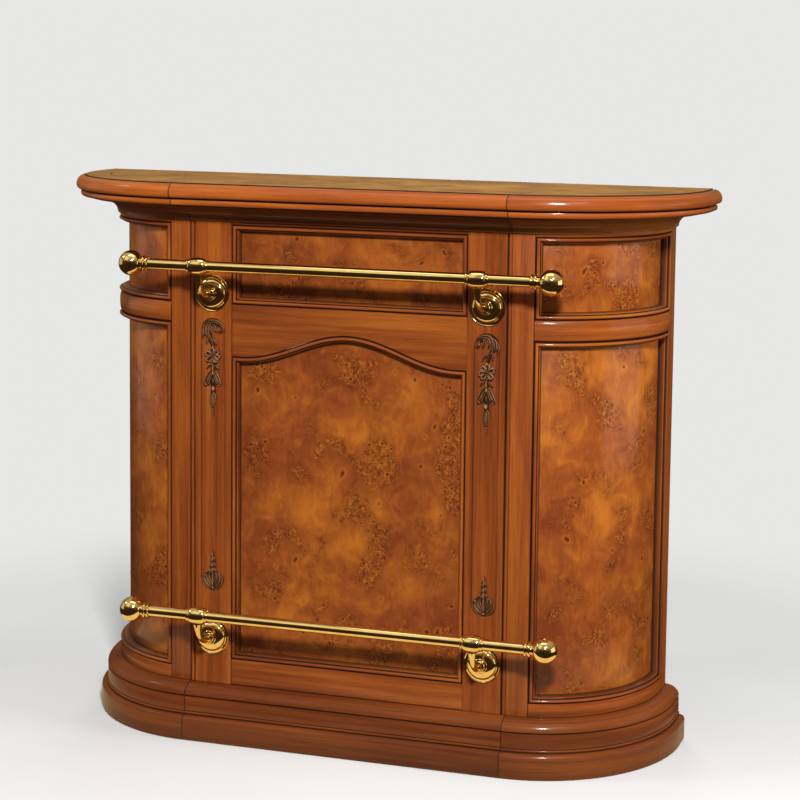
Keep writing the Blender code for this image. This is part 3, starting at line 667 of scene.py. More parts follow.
def plinth_profile():
    """Ledge, quarter round, groove, flat, double bead and base."""
    flat = 0.027
    base = 0.045
    ledge = -0.045
    ledge_foot = PLINTH_TOP - 0.022
    round_foot = PLINTH_TOP - 0.020
    inner = PLINTH_REACH - 0.027
    # The third value of each point is painted shade in the groove and the quirks of the beads
    profile = [(ledge, PLINTH_TOP, 0.0), (-0.0004, PLINTH_TOP, 0.9)]
    profile += shaded(ellipse(90, 0, flat, 0.020, 12, (0.0, round_foot)), start=0.7)
    profile += [
        (flat - 0.0006, round_foot - 0.0006, 0.5), (flat - 0.0030, round_foot - 0.0014, 0.9),
        (flat - 0.0028, round_foot - 0.0026, 0.9), (flat - 0.0004, round_foot - 0.0034, 0.3),
        (flat, round_foot - 0.0044, 0.0), (flat, base + 0.0085, 0.0),
        (flat - 0.0014, base + 0.0078, 0.8), (flat - 0.0012, base + 0.0070, 0.8),
    ]
    profile += shaded(ellipse(80, -80, 0.0023, 0.0023, 6, (flat - 0.0002, base + 0.0048)))
    profile += [(flat + 0.0004, base + 0.0020, 0.8), (flat + 0.0030, base + 0.0016, 0.8)]
    profile += shaded(ellipse(90, 0, 0.0085, 0.0085, 6, (PLINTH_REACH - 0.0085, base - 0.0070)), start=0.3)
    return profile + [
        (PLINTH_REACH, 0.0015, 0.3), (PLINTH_REACH - 0.0012, 0.0, 0.8), (inner, 0.0, 1.0),
        (inner, ledge_foot, 1.0), (ledge, ledge_foot, 1.0),
    ]


def band_profile(heights):
    """Rounded rail between the two panels of a corner."""
    foot, head = heights
    middle = (foot + head) / 2
    half = (head - foot) / 2
    profile = [(-FRAME_BACK, foot, 0.0)]
    for share in shares(BAND_STEPS):
        angle = math.radians(-90 + 180 * share)
        rise = math.copysign(abs(math.sin(angle)) ** 0.8, math.sin(angle))
        fall = 1 - max(math.cos(angle), 0.0) ** 0.6
        out = BAND_CROWN - (BAND_CROWN + BAND_EDGE) * fall
        # The band's edges are painted dark as shade where they meet the panels
        profile.append((out, middle + half * rise, 0.8 if share in (0, 1) else 0.0))
    return profile + [(-FRAME_BACK, head, 0.0)]


def build_runs():
    """Mouldings and rails that run along the front and round both corners."""
    slip = GAP / 2
    runs = (
        ("top_moulding", top, top_moulding_profile(), TOP_BACK, "cherry_painted_highlight"),
        ("cornice", body, cornice_profile(), BODY_BACK, "cherry"),
        ("plinth", body, plinth_profile(), BODY_BACK, "plinth_wood"),
    )
    for part, plan, profile, back, finish in runs:
        front = plan.seam - slip
        sweep(f"{part}_front", plan, profile, [-front, front], finish)
        stations = plan.stations(plan.seam + slip, plan.side_end(back))
        for word, side in SIDES.items():
            sweep(f"{part}_{word}", plan, profile, stations, finish, side, open_end=True)


def build_corners():
    """Stile, rails, panels and mouldings of both rounded ends."""
    outs = (-FRAME_BACK, 0.0)
    panel_outs = (-PANEL_BACK, -RECESS)
    openings = {"upper": UPPER_OPENING, "lower": LOWER_OPENING}
    rows = [
        ("corner_top_rail", slab(outs, (UPPER_OPENING[1], BODY_TOP)), "cherry"),
        ("corner_band", band_profile((LOWER_OPENING[1] + GAP, UPPER_OPENING[0] - GAP)), "cherry"),
        ("corner_base_rail", slab(outs, (BODY_FOOT, LOWER_OPENING[0])), "cherry"),
    ]
    for part, (foot, head) in openings.items():
        rows.append((f"corner_{part}_panel", slab(panel_outs, (foot + GAP, head - GAP)), "burl"))
    stile_end = FLAT_HALF + CORNER_RADIUS * STILE_ANGLE
    opening = body.stations(stile_end, body.turned)
    stile = slab(outs, (BODY_FOOT, BODY_TOP))
    stile_stations = body.stations(FLAT_HALF + GAP / 2, stile_end - GAP)
    for word, side in SIDES.items():
        for part, profile, finish in rows:
            sweep(f"{part}_{word}", body, profile, opening, finish, side, upright=finish == "burl")
        sweep(f"front_stile_{word}", body, stile, stile_stations, "cherry", side, upright=True)
        for part, (foot, head) in openings.items():
            outline = [Vector((s, foot)) for s in opening] + [Vector((s, head)) for s in reversed(opening)]
            if side < 0:
                outline = [Vector((-point.x, point.y)) for point in reversed(outline)]
            moulding_frame(f"corner_{part}_moulding_{word}", outline)


def build_centre():
    """Rails and mouldings between the pilasters; the two flat panels keep their solids."""
    half = OPENING_HALF - GAP
    foot, head = UPPER_OPENING
    front_rail("frieze_rail", rectangle(half, head, BODY_TOP), "cherry")
    front_rail("base_rail", rectangle(half, BODY_FOOT, MAIN_FOOT), "cherry")
    arched = [Vector((half, foot)), Vector((-half, foot))] + arch_curve(half)[::-1]
    front_rail("mid_rail", arched, "cherry_rail")
    moulding_frame("frieze_moulding", rectangle(OPENING_HALF, foot, head))
    corners = [Vector((-OPENING_HALF, MAIN_FOOT)), Vector((OPENING_HALF, MAIN_FOOT))]
    moulding_frame("main_moulding", corners + arch_curve(OPENING_HALF))


def stadium(half, foot, head):
    """A round-ended outline, counter-clockwise from its upper right."""
    points = []
    for centre, start in ((head - half, 0), (foot + half, 180)):
        points += ellipse(start, start + 180, half, half, FIELD_STEPS, (0.0, centre))
    return points


def pilaster_outline():
    """Section of a pilaster with its seam bead: (x, depth, painted shade)."""
    seam = FLAT_HALF - GAP / 2
    start = seam - BEAD_WIDTH
    radius = BEAD_WIDTH / 2
    bead = ellipse(180, 340, radius, radius, 8, (start + radius, radius))
    return [
        (OPENING_HALF, FRAME_BACK, 0.0),
        (OPENING_HALF, ARRIS, 0.5),
        (OPENING_HALF + ARRIS, 0.0, 0.0),
        (start - BEAD_QUIRK - ARRIS, 0.0, 0.0),
        (start - BEAD_QUIRK, ARRIS, 0.7),
        (start - 0.7 * BEAD_QUIRK, BEAD_DEPTH, 1.0),
        (start - 0.2 * BEAD_QUIRK, BEAD_DEPTH, 1.0),
        *shaded(bead, start=0.7),
        (seam, radius + 0.0012, 0.6),
        (seam, FRAME_BACK, 0.0),
    ]


def build_pilaster(word, side):
    """Stile with a bead along the seam and a sunk round-ended field."""
    build = Build()
    foot_ring, head_ring = (
        [
            build.vert((side * x, FACE_Y + depth, z), (z, x, depth), glaze)
            for x, depth, glaze in pilaster_outline()
        ]
        for z in (BODY_FOOT, BODY_TOP)
    )
    # The side of the outline that is the flat face, filled in below round the sunk field
    face_side = 2
    for index in range(len(foot_ring)):
        after = (index + 1) % len(foot_ring)
        if index != face_side:
            build.bm.faces.new((foot_ring[index], foot_ring[after], head_ring[after], head_ring[index]))
    build.close([foot_ring, head_ring])

    # Steps down into the sunk field: (inset, depth, painted shade at its edge)
    steps = (
        (0.0, 0.0, 0.0), (0.0004, 0.0005, 0.4), (0.0008, 0.0022, 0.6),
        (0.0016, 0.0034, 0.4), (0.0030, FIELD_DEPTH, 0.15), (0.0042, FIELD_DEPTH, 0.0),
    )
    foot = CARVING_FOOT - FIELD_CLEARANCE
    head = CARVING_TOP + FIELD_CLEARANCE
    hole = []
    for distance, depth, glaze in steps:
        hole.append([
            build.vert((side * (FIELD_X + x), FACE_Y + depth, z), (z, FIELD_X + x, depth), glaze)
            for x, z in stadium(FIELD_HALF - distance, foot + distance, head - distance)
        ])
    build.skin(hole)
    build.bm.faces.new(hole[-1])
    border = [
        foot_ring[face_side], foot_ring[face_side + 1], head_ring[face_side + 1], head_ring[face_side]
    ]
    edges = []
    for ring in (border, hole[0]):
        for index, vert in enumerate(ring):
            ends = (vert, ring[(index + 1) % len(ring)])
            edges.append(build.bm.edges.get(ends) or build.bm.edges.new(ends))
    bmesh.ops.triangle_fill(build.bm, use_beauty=True, edges=edges)
    build.finish(f"pilaster_{word}", "cherry")


def build_top_board():
    """Veneered top: burl field and border with a dark stringing line between them."""
    build = Build()
    half = top.stations(top.seam, top.side_end(TOP_BACK))
    half.insert(-1, half[-1] - JOINT)
    stations = [-s for s in reversed(half)] + half
    border = BOARD_REACH - BORDER_WIDTH
    # Levels: (out, height, distance from the back, painted shade on the board's edge and arris)
    levels = (
        (BOARD_REACH, BOARD_FOOT, 0.0, 1.0),
        (BOARD_REACH, TOP_HEIGHT - 0.0008, 0.0, 1.0),
        (BOARD_REACH - 0.0008, TOP_HEIGHT, 0.0008, 0.8),
        (BOARD_REACH - 0.0026, TOP_HEIGHT, 0.0026, 0.0),
        (border, TOP_HEIGHT, BORDER_WIDTH, 0.0),
        (border - STRINGING_WIDTH, TOP_HEIGHT, BORDER_WIDTH + STRINGING_WIDTH, 0.0),
    )
    rings = []
    for out, z, from_back, glaze in levels:
        ring = []
        for s in stations:
            place = top.point(s, out, z)
            place.y = min(place.y, TOP_BACK - from_back)
            sawn = abs(s) == half[-1]
            ring.append(build.vert(place, (place.x, place.y, z), 0.0 if sawn else glaze))
        rings.append(ring)
    build.skin(rings[:5])
    build.skin(rings[4:], material=1)
    build.close(rings)
    build.finish("top_board", "top_burl", "stringing")


def lathe(build, profile, matrix, steps):
    """Revolve a (radius, height) profile, whose ends lie on the axis or meet each other."""
    rings = []
    for index in range(steps):
        turn = Matrix.Rotation(2 * math.pi * index / steps, 4, "Z")
        ring = []
        for radius, height in profile:
            place = matrix @ turn @ Vector((radius, 0, height))
            ring.append(build.vert(place, place))
        rings.append(ring)
    build.skin(rings, closed=profile[0][0] > 0.0001, loop=True)
    bmesh.ops.remove_doubles(build.bm, verts=build.bm.verts, dist=0.00001)
    bmesh.ops.dissolve_degenerate(build.bm, edges=build.bm.edges, dist=0.000001)


def directions(points):
    """Which way a line of points runs at each of them."""
    padded = [points[0], *points, points[-1]]
    return [(ahead - behind).normalized() for behind, ahead in zip(padded, padded[2:])]


def tube(build, points, radii, sides):
    """A round-sectioned rod through points, one radius for each."""
    rings = []
    ways = directions(points)
    normal = ways[0].orthogonal()
    for point, radius, direction in zip(points, radii, ways):
        normal = (normal - direction * normal.dot(direction)).normalized()
        other = direction.cross(normal)
        ring = []
        for side in range(sides):
            angle = 2 * math.pi * side / sides
            place = point + radius * (math.cos(angle) * normal + math.sin(angle) * other)
            ring.append(build.vert(place, place))
        rings.append(ring)
    build.skin(rings)
    build.close(rings)


def along_x(x, z, side):
    turn = Matrix.Rotation(side * math.pi / 2, 4, "Y")
    return Matrix.Translation((side * x, RAIL_Y, z)) @ turn


def round_bead(radius, start, end, bulge, steps=6):
    """Profile of a half-round ring on a neck, from the higher end to the lower."""
    return ellipse(90, -90, bulge, (end - start) / 2, steps, (radius, (start + end) / 2))


def finial_profile():
    """Ball on a neck with two rounded rings; heights run out from the neck's face."""
    neck = RAIL_RADIUS
    start = BALL_X - RAIL_HALF - GAP
    meet = math.degrees(math.asin((neck + 0.0004) / BALL_RADIUS))
    length = start - math.sqrt(BALL_RADIUS**2 - neck**2)
    return [
        *ellipse(90, meet - 90, BALL_RADIUS, BALL_RADIUS, BALL_STEPS, (0.0, start)),
        (neck, 0.90 * length),
        *round_bead(neck + 0.0002, 0.46 * length, 0.86 * length, 0.0042),
        *round_bead(neck + 0.0002, 0.08 * length, 0.42 * length, 0.0034),
        (neck, 0.0), (0.0, 0.0),
    ]


def saddle_profile():
    """Olive bead with a rounded lip at each end, bored for the rail."""
    half = SADDLE_HALF
    lip = RAIL_RADIUS + 0.0024
    edge = [
        (RAIL_RADIUS + GAP, half), (lip - 0.0008, half), (lip, half - 0.0008),
        (lip, half - 0.0030), (lip - 0.0008, half - 0.0036),
    ]
    olive = []
    for share in shares(SADDLE_STEPS):
        height = math.cos(math.pi * share)
        swell = math.sqrt(max(0.0, 1 - abs(height) ** 2.2))
        olive.append((lip - 0.0004 + (SADDLE_RADIUS - lip + 0.0004) * swell, (half - 0.0042) * height))
    return edge + olive + [(radius, -z) for radius, z in reversed(edge)]


def flange_profile():
    """Small ringed boss, domed rose and thin rim, from the front to the wall."""
    hub = FLANGE_RADIUS - 0.006
    boss = 0.0120
    height = HUB_LENGTH
    dome = list(ellipse(90, 0, hub - boss, height - 0.0108, 14, (boss, 0.0036)))
    return [
        (0.0, height - 0.0005), (0.0078, height - 0.0005),
        *round_bead(0.0082, height - 0.0034, height, 0.0020, 5),
        (0.0100, height - 0.0040),
        *round_bead(0.0118, height - 0.0068, height - 0.0040, 0.0018, 5),
        *dome[1:],
        (hub + 0.0008, 0.0028), (FLANGE_RADIUS - 0.0022, 0.0024), (FLANGE_RADIUS - 0.0006, 0.0032),
        (FLANGE_RADIUS, 0.0022), (FLANGE_RADIUS, 0.0), (0.0, 0.0),
    ]


def build_arm(build, x, z, rail_z):
    """Neck from the boss, out and up to just under the saddle, flared at its end."""
    rise = rail_z - SADDLE_RADIUS - GAP - z
    bend = ARM_BEND_SHARE * rise
    curve = ellipse(-90, -180, bend, bend, ARM_STEPS, (RAIL_Y + bend, z + bend))
    places = [(FACE_Y - 0.012, z), *curve, (RAIL_Y, z + rise)]
    radii = [0.0074]
    for share in shares(ARM_STEPS):
        radii.append(0.0066 - 0.0012 * math.sin(math.pi * share) + 0.006 * max(0.0, share - 0.8))
    radii.append(0.0082)
    tube(build, [Vector((x, *place)) for place in places], radii, ARM_SIDES)


def build_brass():
    for level, z in RAIL_HEIGHTS.items():
        build = Build()
        ends = [Vector((x, RAIL_Y, z)) for x in (-RAIL_HALF, RAIL_HALF)]
        tube(build, ends, (RAIL_RADIUS, RAIL_RADIUS), TURNED_STEPS)
        build.finish(f"{level}_rail", "brass")
        for word, side in SIDES.items():
            build = Build()
            lathe(build, finial_profile(), along_x(RAIL_HALF + GAP, z, side), TURNED_STEPS)
            build.finish(f"{level}_finial_{word}", "brass")
            build = Build()
            lathe(build, saddle_profile(), along_x(FIELD_X, z, side), TURNED_STEPS)
            build.finish(f"{level}_saddle_{word}", "brass")
            build = Build()
            foot = z - FLANGE_RISE
            turn = Matrix.Rotation(math.pi / 2, 4, "X")
            wall = Matrix.Translation((side * FIELD_X, FACE_Y - GAP, foot)) @ turn
            lathe(build, flange_profile(), wall, FLANGE_STEPS)
            build_arm(build, side * FIELD_X, foot, z)
            build.finish(f"{level}_bracket_{word}", "brass")


# Sections of a carved stroke: (share of its half width, share of its rise, how light it is painted, as rubbed
# wear with painted highlight)
RIDGED = (
    (-1.0, 0.0, 0.0), (-0.92, 0.50, 0.2), (-0.55, 0.82, 0.6), (0.0, 1.0, 1.0),
    (0.55, 0.82, 0.6), (0.92, 0.50, 0.2), (1.0, 0.0, 0.0),
)
PLAIN = ((-1.0, 0.0, 0.0), (-0.85, 0.9, 0.0), (0.0, 1.0, 0.0), (0.85, 0.9, 0.0), (1.0, 0.0, 0.0))
CUPPED = (
    (-1.0, 0.0, 0.0), (-0.94, 0.80, 0.8), (-0.72, 1.0, 1.0), (-0.36, 0.55, 0.1), (0.0, 0.45, 0.0),
    (0.36, 0.55, 0.1), (0.72, 1.0, 1.0), (0.94, 0.80, 0.8), (1.0, 0.0, 0.0),
)

# Sizes of the carving in millimetres, and how finely it is cut
LOW_GROUND_RISE = 2.2
NARROWEST_STROKE = 0.25
STROKE_STEPS = 5
BUD_LEVELS = 5
BUD_STEPS = 14


def curve_through(values):
    """Catmull-Rom values between control values, which may be numbers or vectors."""
    made = []
    for index in range(len(values) - 1):
        before = values[max(index - 1, 0)]
        first = values[index]
        second = values[index + 1]
        after = values[min(index + 2, len(values) - 1)]
        for t in shares(STROKE_STEPS)[:-1]:
            linear = (second - before) * t
            square = (2 * before - 5 * first + 4 * second - after) * t**2
            cubic = (3 * first - before - 3 * second + after) * t**3
            made.append(0.5 * (2 * first + linear + square + cubic))
    return made + [values[-1]]


class Carver:
    """Relief in millimetres laid on a pilaster's sunk field; across grows away from the middle."""

    def __init__(self, side, base_z):
        self.build = Build()
        self.proud = self.build.bm.verts.layers.float.new("proud")
        self.side = side
        self.base_z = base_z

    def vert(self, across, up, rise, shine):
        """Rise is measured out from the field's floor."""
        place = Vector((
            self.side * (FIELD_X + across / 1000),
            FACE_Y + FIELD_DEPTH - GAP - rise / 1000,
            self.base_z + up / 1000,
        ))
        made = self.build.vert(place, place)
        # How light the vertex is painted: rubbed wear with painted highlight on crests and painted shade in
        # hollows
        made[self.proud] = shine
        return made

    def stroke(self, places, widths, rise, section=CUPPED):
        """A leaf or scroll band through places, with a half width at each."""
        path = curve_through([Vector(place) for place in places])
        reach = curve_through(widths)
        rings = []
        for index, (point, direction) in enumerate(zip(path, directions(path))):
            normal = Vector((-direction.y, direction.x))
            # The middle of a stroke rises higher and is painted lighter
            swell = 0.72 + 0.28 * math.sin(math.pi * index / (len(path) - 1))
            ring = []
            for share, height, shine in section:
                spot = point + share * max(reach[index], NARROWEST_STROKE) * normal
                ring.append(self.vert(spot.x, spot.y, rise * swell * height, shine * swell))
            rings.append(ring)
        self.build.skin(rings)
        self.build.close(rings)

    def ground(self, places, widths):
        """Low ground that ties the leaves together, painted dark as shade between them."""
        self.stroke(places, widths, LOW_GROUND_RISE, PLAIN)

    def strokes(self, *rows, section=CUPPED):
        """Strokes given as (places, widths, rise)."""
        for places, widths, rise in rows:
            self.stroke(places, widths, rise, section)

    def pairs(self, *rows):
        """Strokes carved twice, mirrored about the middle of the field."""
        for places, widths, rise in rows:
            for hand in (-1, 1):
                self.stroke([(hand * across, up) for across, up in places], widths, rise)

    def bud(self, across, up, wide, tall, rise, shine=1.0):
        """A pearl, bud or flower heart."""
        rings = []
        for level in range(BUD_LEVELS):
            angle = math.radians(90 * level / BUD_LEVELS)
            ring = []
            for step in range(BUD_STEPS):
                around = 2 * math.pi * step / BUD_STEPS
                # Painted lighter towards the bud's crown
                ring.append(self.vert(
                    across + wide * math.cos(angle) * math.cos(around),
                    up + tall * math.cos(angle) * math.sin(around),
                    rise * math.sin(angle),
                    shine * math.sin(angle),
                ))
            rings.append(ring)
        self.build.skin(rings)
        self.build.close(rings)

    def petal(self, across, up, angle, length, width, rise):
        """A rounded cupped petal that starts at a point and leans at an angle; its tip curls."""
        direction = Vector((math.cos(math.radians(angle)), math.sin(math.radians(angle))))
        start = Vector((across, up))
        places = [start + direction * length * share for share in (0.15, 0.40, 0.70, 0.92, 1.0)]
        widths = [0.35 * width, 0.85 * width, width, 0.62 * width, 0.25 * width]
        self.stroke(places, widths, rise)
        tip = start + 0.86 * length * direction
        self.bud(tip.x, tip.y, 0.34 * width, 0.34 * width, 1.12 * rise)

    def finish(self, node, name):
        self.build.finish(node, "bronze", name=name, sharp=CARVED_EDGE_ANGLE)


def build_upper_carving(word, side):
    """C-scroll with leaves, a flower, a pair of drooping leaves, a bud and long bell petals."""
    carver = Carver(side, CARVING_TOP)
    carver.ground(((-14, -14), (-4, -9.5), (8, -11.5), (13.5, -20), (14.5, -31)), (3, 5, 8, 8, 3))
    carver.ground(((10, -24), (6, -38), (0.5, -52), (0.4, -60)), (4, 4.5, 3.5, 3))
    carver.ground(((0.2, -82), (0, -98), (0, -108), (0, -122)), (3, 4.5, 9, 12.5))
    carver.ground(((0, -121), (0, -131), (0, -148), (0, -170)), (6, 4.6, 5.4, 1.4))
    scroll = (
        (-13.6, -19.6), (-15.4, -24.2), (-19.6, -21.5), (-20, -14.5), (-15, -8.4), (-5, -4.6),
        (5, -6.5), (9, -14), (9.6, -24.5), (6.5, -34.5), (1.5, -43), (-0.8, -50.5),
    )
    carver.strokes(
        (scroll, (0.9, 1.6, 1.9, 2.1, 2.3, 2.5, 2.6, 2.5, 2.2, 2, 1.8, 1.2), 6.6),
        (((-8, -8.5), (-4.6, -13.5), (-5.4, -20.5), (-9.6, -25)), (0.8, 2.2, 2.1, 0.6), 5.4),
        (((-2.6, -8.2), (2.6, -12.5), (4.2, -19.5), (1.6, -28)), (0.8, 2.1, 2.1, 0.6), 5.8),
        (((8, -6.6), (14.4, -13), (16.2, -23), (13.4, -33)), (0.8, 2.8, 2.8, 0.6), 6.2),
        (((14.4, -10.8), (20, -17.5), (21, -27), (18.6, -36.5)), (0.8, 2.1, 2.3, 0.5), 5.4),
        (((8.6, -32), (12.2, -39), (11.2, -48)), (0.8, 2.4, 0.5), 5.2),
        (((2.4, -38.5), (-4.6, -42), (-8, -50)), (0.8, 2.2, 0.5), 5.2),
    )
    carver.bud(-13.6, -20, 1.7, 1.7, 7.4)
    carver.bud(0, -53.6, 2.4, 2.4, 6.2)

    heart = (0.4, -69.3)
    # The heart's wide low disc is painted dark as shade behind the petals
    carver.bud(*heart, 15, 14.5, 1.8, shine=0)
    for angle in (52, -12, -88, 165, 112):
        carver.petal(*heart, angle, 14, 2.6, 4.4)
    for angle in (85, 20, -45, -130, 195, 140):
        carver.petal(*heart, angle, 16.2, 5.2, 6.6)
    carver.bud(*heart, 3.6, 3.6, 5.2, shine=0.3)

    carver.pairs(
        (((2, -87.5), (8.2, -89.5), (12.8, -95.5)), (0.8, 2.3, 0.5), 5),
        (
            ((2.4, -97.5), (7.6, -104), (11.6, -112), (15.4, -121), (12.2, -126.2)),
            (1.2, 2.9, 3, 2.2, 0.8), 6.6,
        ),
        (((1.6, -100.5), (4.8, -109), (8.2, -118), (7.2, -125)), (0.8, 2, 1.9, 0.6), 5.6),
        (((1.4, -137), (4.4, -144.5), (3.6, -154.5), (1.4, -167)), (0.8, 1.9, 1.6, 0.6), 6),
    )
    carver.strokes(
        (((0.2, -84), (-0.6, -91), (0.2, -99)), (1.2, 1.9, 1.4), 6),
        (((0, -138.5), (0, -150), (0, -168)), (1, 1.6, 0.6), 4.4),
        section=RIDGED,
    )
    for hand in (-1, 1):
        carver.bud(12.6 * hand, -124.6, 1.7, 1.7, 6.8)
    carver.bud(-0.2, -102, 2.2, 4.4, 6.6)
    carver.bud(-0.4, -117, 1.5, 6, 4.4, shine=0.6)
    carver.bud(-0.8, -131.2, 3.8, 5.4, 6.8)
    for index, up in enumerate((-170.5, -175.4, -179.4, -182.4)):
        size = 2.3 - 0.4 * index
        carver.bud(0, up, size, 1.15 * size, 4.4 - 0.5 * index, shine=0.7)
    carver.finish(f"upper_carving_{word}", name=f"carved_upper_drop_{word}")


def build_lower_carving(word, side):
    """Stacked buds over a gathered shell between two scrolled leaves."""
    carver = Carver(side, CARVING_FOOT)
    carver.ground(((0, 1.4), (0, 8), (0, 20), (0, 31), (0, 36)), (6, 13, 18, 15, 7))
    carver.ground(((0, 33), (0, 45), (0, 58), (0, 70)), (6, 5.6, 4.6, 1.2))
    carver.pairs(
        (((2.4, 4.4), (9, 7), (15.4, 13.4), (18.8, 22.5), (16.6, 29.5)), (1.4, 2.6, 2.9, 2.4, 0.8), 6.6),
        (((2, 8), (7.4, 13), (12.2, 20.5), (13, 28.5), (10.6, 32.5)), (1.2, 2.3, 2.5, 1.8, 0.6), 6.2),
        (((1.6, 11), (5, 18.5), (7.2, 27), (6, 35)), (1, 2, 2, 0.6), 6),
        (((3, 2.6), (9, 3), (14, 8.4)), (1, 1.7, 0.5), 5),
    )
    for hand in (-1, 1):
        carver.bud(15.4 * hand, 27.6, 1.9, 1.9, 7.4)
    carver.bud(0, 4.2, 3, 2.8, 5, shine=0.8)
    for up, wide, tall in ((38.5, 5.8, 5.4), (48.7, 5.2, 5.4), (59.6, 4.2, 5.6)):
        carver.bud(0, up, 0.55 * wide, tall, 5.4, shine=0.7)
        leaf = ((0.4, up - tall), (0.85 * wide, up - 0.6), (0.5 * wide, up + tall))
        carver.pairs((leaf, (0.7, 1.5, 0.4), 5.2))
    carver.strokes(
        (((0, 6), (0, 16), (0, 27), (0, 36)), (1.2, 1.8, 1.9, 1), 5.6),
        (((0, 63), (0, 68), (0, 74.4)), (1.2, 1.8, 0.4), 4.8),
        section=RIDGED,
    )
    carver.finish(f"lower_carving_{word}", name=f"carved_lower_palmette_{word}")


def dress_kept_nodes():
    """Materials for the solids whose shape is right as it is."""
    finishes = {
        "frieze_panel": "burl_frieze_shaded", "main_panel": "burl_flat", "plinth_back": "plinth_level",
        "floor_board": "inside_level", "shelf": "inside_level",
    }
    for word in SIDES:
        finishes[f"rear_stile_{word}"] = "cherry_upright"
        finishes[f"partition_{word}"] = "inside_upright"
    for name, finish in finishes.items():
        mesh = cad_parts[name].data
        mesh.materials.clear()
        mesh.materials.append(FINISHES[finish])


def towards(direction):
    """Way out from the counter to an (azimuth, elevation) in degrees; azimuth 0 is its front."""
    azimuth, elevation = (math.radians(angle) for angle in direction)
    level = math.cos(elevation)
    return Vector((math.sin(azimuth) * level, -math.cos(azimuth) * level, math.sin(elevation)))


def add_light(name, direction, distance, size, power, glossy):
    """Area lamp that faces the counter."""
    way = towards(direction)
    lamp = bpy.data.lights.new(name, "AREA")
    lamp.shape = "RECTANGLE"
    lamp.size, lamp.size_y = size
    lamp.energy = power
    item = add_object(name, lamp)
    item.location = LAMP_TARGET + distance * way
    item.rotation_mode = "QUATERNION"
    item.rotation_quaternion = way.to_track_quat("Z", "Y")
    item.visible_glossy = glossy


def add_stage(name, bm, material):
    mesh = bpy.data.meshes.new(name)
    bm.to_mesh(mesh)
    bm.free()
    mesh.materials.append(material)
    item = add_object(name, mesh)
    return item


def seen_directly(tree):
    """1 for camera, glossy and transmission rays, 0 for diffuse ones."""
    path = make_node(tree, "LightPath")
    either = calculate(tree, "MAXIMUM", path.outputs["Is Camera Ray"], path.outputs["Is Glossy Ray"])
    return calculate(tree, "MAXIMUM", either, path.outputs["Is Transmission Ray"])


# Studio: background, floor, reflector cards and lamps
BACKGROUND = (0.80, 0.80, 0.79)
WORLD_FILL = (0.115, 0.115, 0.115)
FLOOR_BOUNCE = (0.30, 0.30, 0.30)
FLOOR_TONES = ((0.74, 0.74, 0.73), (0.79, 0.79, 0.78))
FLOOR_HALF = 6.0
FLOOR_FADE = (0.8, 1.9)
FLOOR_DROP = 0.0005
STUDIO_RADIUS = 6.0
STUDIO_HEIGHT = 8.0
CEILING = (0.50, 0.48, 0.45)
HAZE = (0.32, 0.30, 0.27)
FRONT_WALL = ((0.0, (0.020, 0.014, 0.010)), (0.28, (0.040, 0.031, 0.022)), (0.46, HAZE), (1.0, CEILING))
BACK_WALL = ((0.0, (0.22, 0.14, 0.06)), (0.28, (0.34, 0.23, 0.11)), (0.42, HAZE), (1.0, CEILING))
FAR_GROUND = (0.030, 0.020, 0.013)
FAR_GROUND_HEIGHT = 0.0002
NEAR_GROUND = (0.95, 0.76, 0.45)
NEAR_GROUND_HEIGHT = 0.0004
NEAR_GROUND_REACH = (0.86, 0.46)
SOFTBOX_DISTANCE = 5.0
SOFTBOX_TINT = (1.0, 0.96, 0.90)

# Direction from the counter, half width and strength of each softbox
SOFTBOXES = {
    "right": ((40, 47), 0.35, 8.0),
    "middle": ((-34, 46), 1.20, 1.0),
    "left": ((-78, 42), 0.35, 8.0),
    "right_side": ((96, 4), 1.90, 1.3),
    "left_side": ((-86, 6), 1.90, 0.6),
}

# Direction from the counter, distance, size and power of each lamp, and whether reflections show it
LAMPS = {
    "key": ((25, 32), 3.6, (0.34, 0.34), 160, True),
    "right_window": ((90, 9), 3.2, (0.55, 1.1), 46, False),
    "left_window": ((-70, 18), 3.2, (0.45, 1.0), 29, False),
    "overhead": ((8, 80), 2.6, (2.2, 0.9), 9, True),
    "back_fill": ((196, 14), 3.4, (1.8, 1.2), 34, False),
}
LAMP_TARGET = Vector((0, FACE_Y, 0.60))


def make_square(half):
    bm = bmesh.new()
    bmesh.ops.create_grid(bm, x_segments=1, y_segments=1, size=half)
    return bm


def build_floor():
    """Pale floor that fades into the background away from the counter."""
    material, tree, shader = start_material("studio_floor", Roughness=0.7, Specular_IOR_Level=0.1)
    place = place_source(tree, "across")
    dull, pale = FLOOR_TONES
    mottle = ramp(tree, noise(tree, place, scale=1.5), ((0.3, dull), (0.7, pale)))
    colour = mix_colours(tree, seen_directly(tree), FLOOR_BOUNCE, mottle)
    tree.links.new(colour, shader.inputs["Base Color"])
    length = make_node(tree, "VectorMath", {0: place}, operation="LENGTH").outputs["Value"]
    near, far = FLOOR_FADE
    fade = make_node(
        tree, "MapRange", {"Value": length, "From Min": near, "From Max": far},
        interpolation_type="SMOOTHSTEP",
    ).outputs["Result"]
    clear = make_node(tree, "BsdfTransparent")
    mixed = make_node(tree, "MixShader", {0: fade, 1: shader.outputs[0], 2: clear.outputs[0]})
    tree.links.new(mixed.outputs[0], tree.nodes["Material Output"].inputs["Surface"])
    floor = add_stage("studio_floor", make_square(FLOOR_HALF), material)
    floor.location.z = -FLOOR_DROP


def make_glow(name, colour):
    """Material that only shines; its colour is a plain one, or a function that makes it in a tree."""
    material, tree, shader = start_material(name)
    tree.nodes.remove(shader)
    shade = colour(tree) if callable(colour) else colour
    glow = make_node(tree, "Emission", {"Color": opaque(shade)})
    tree.links.new(glow.outputs[0], tree.nodes["Material Output"].inputs["Surface"])
    material.cycles.emission_sampling = "NONE"
    return material


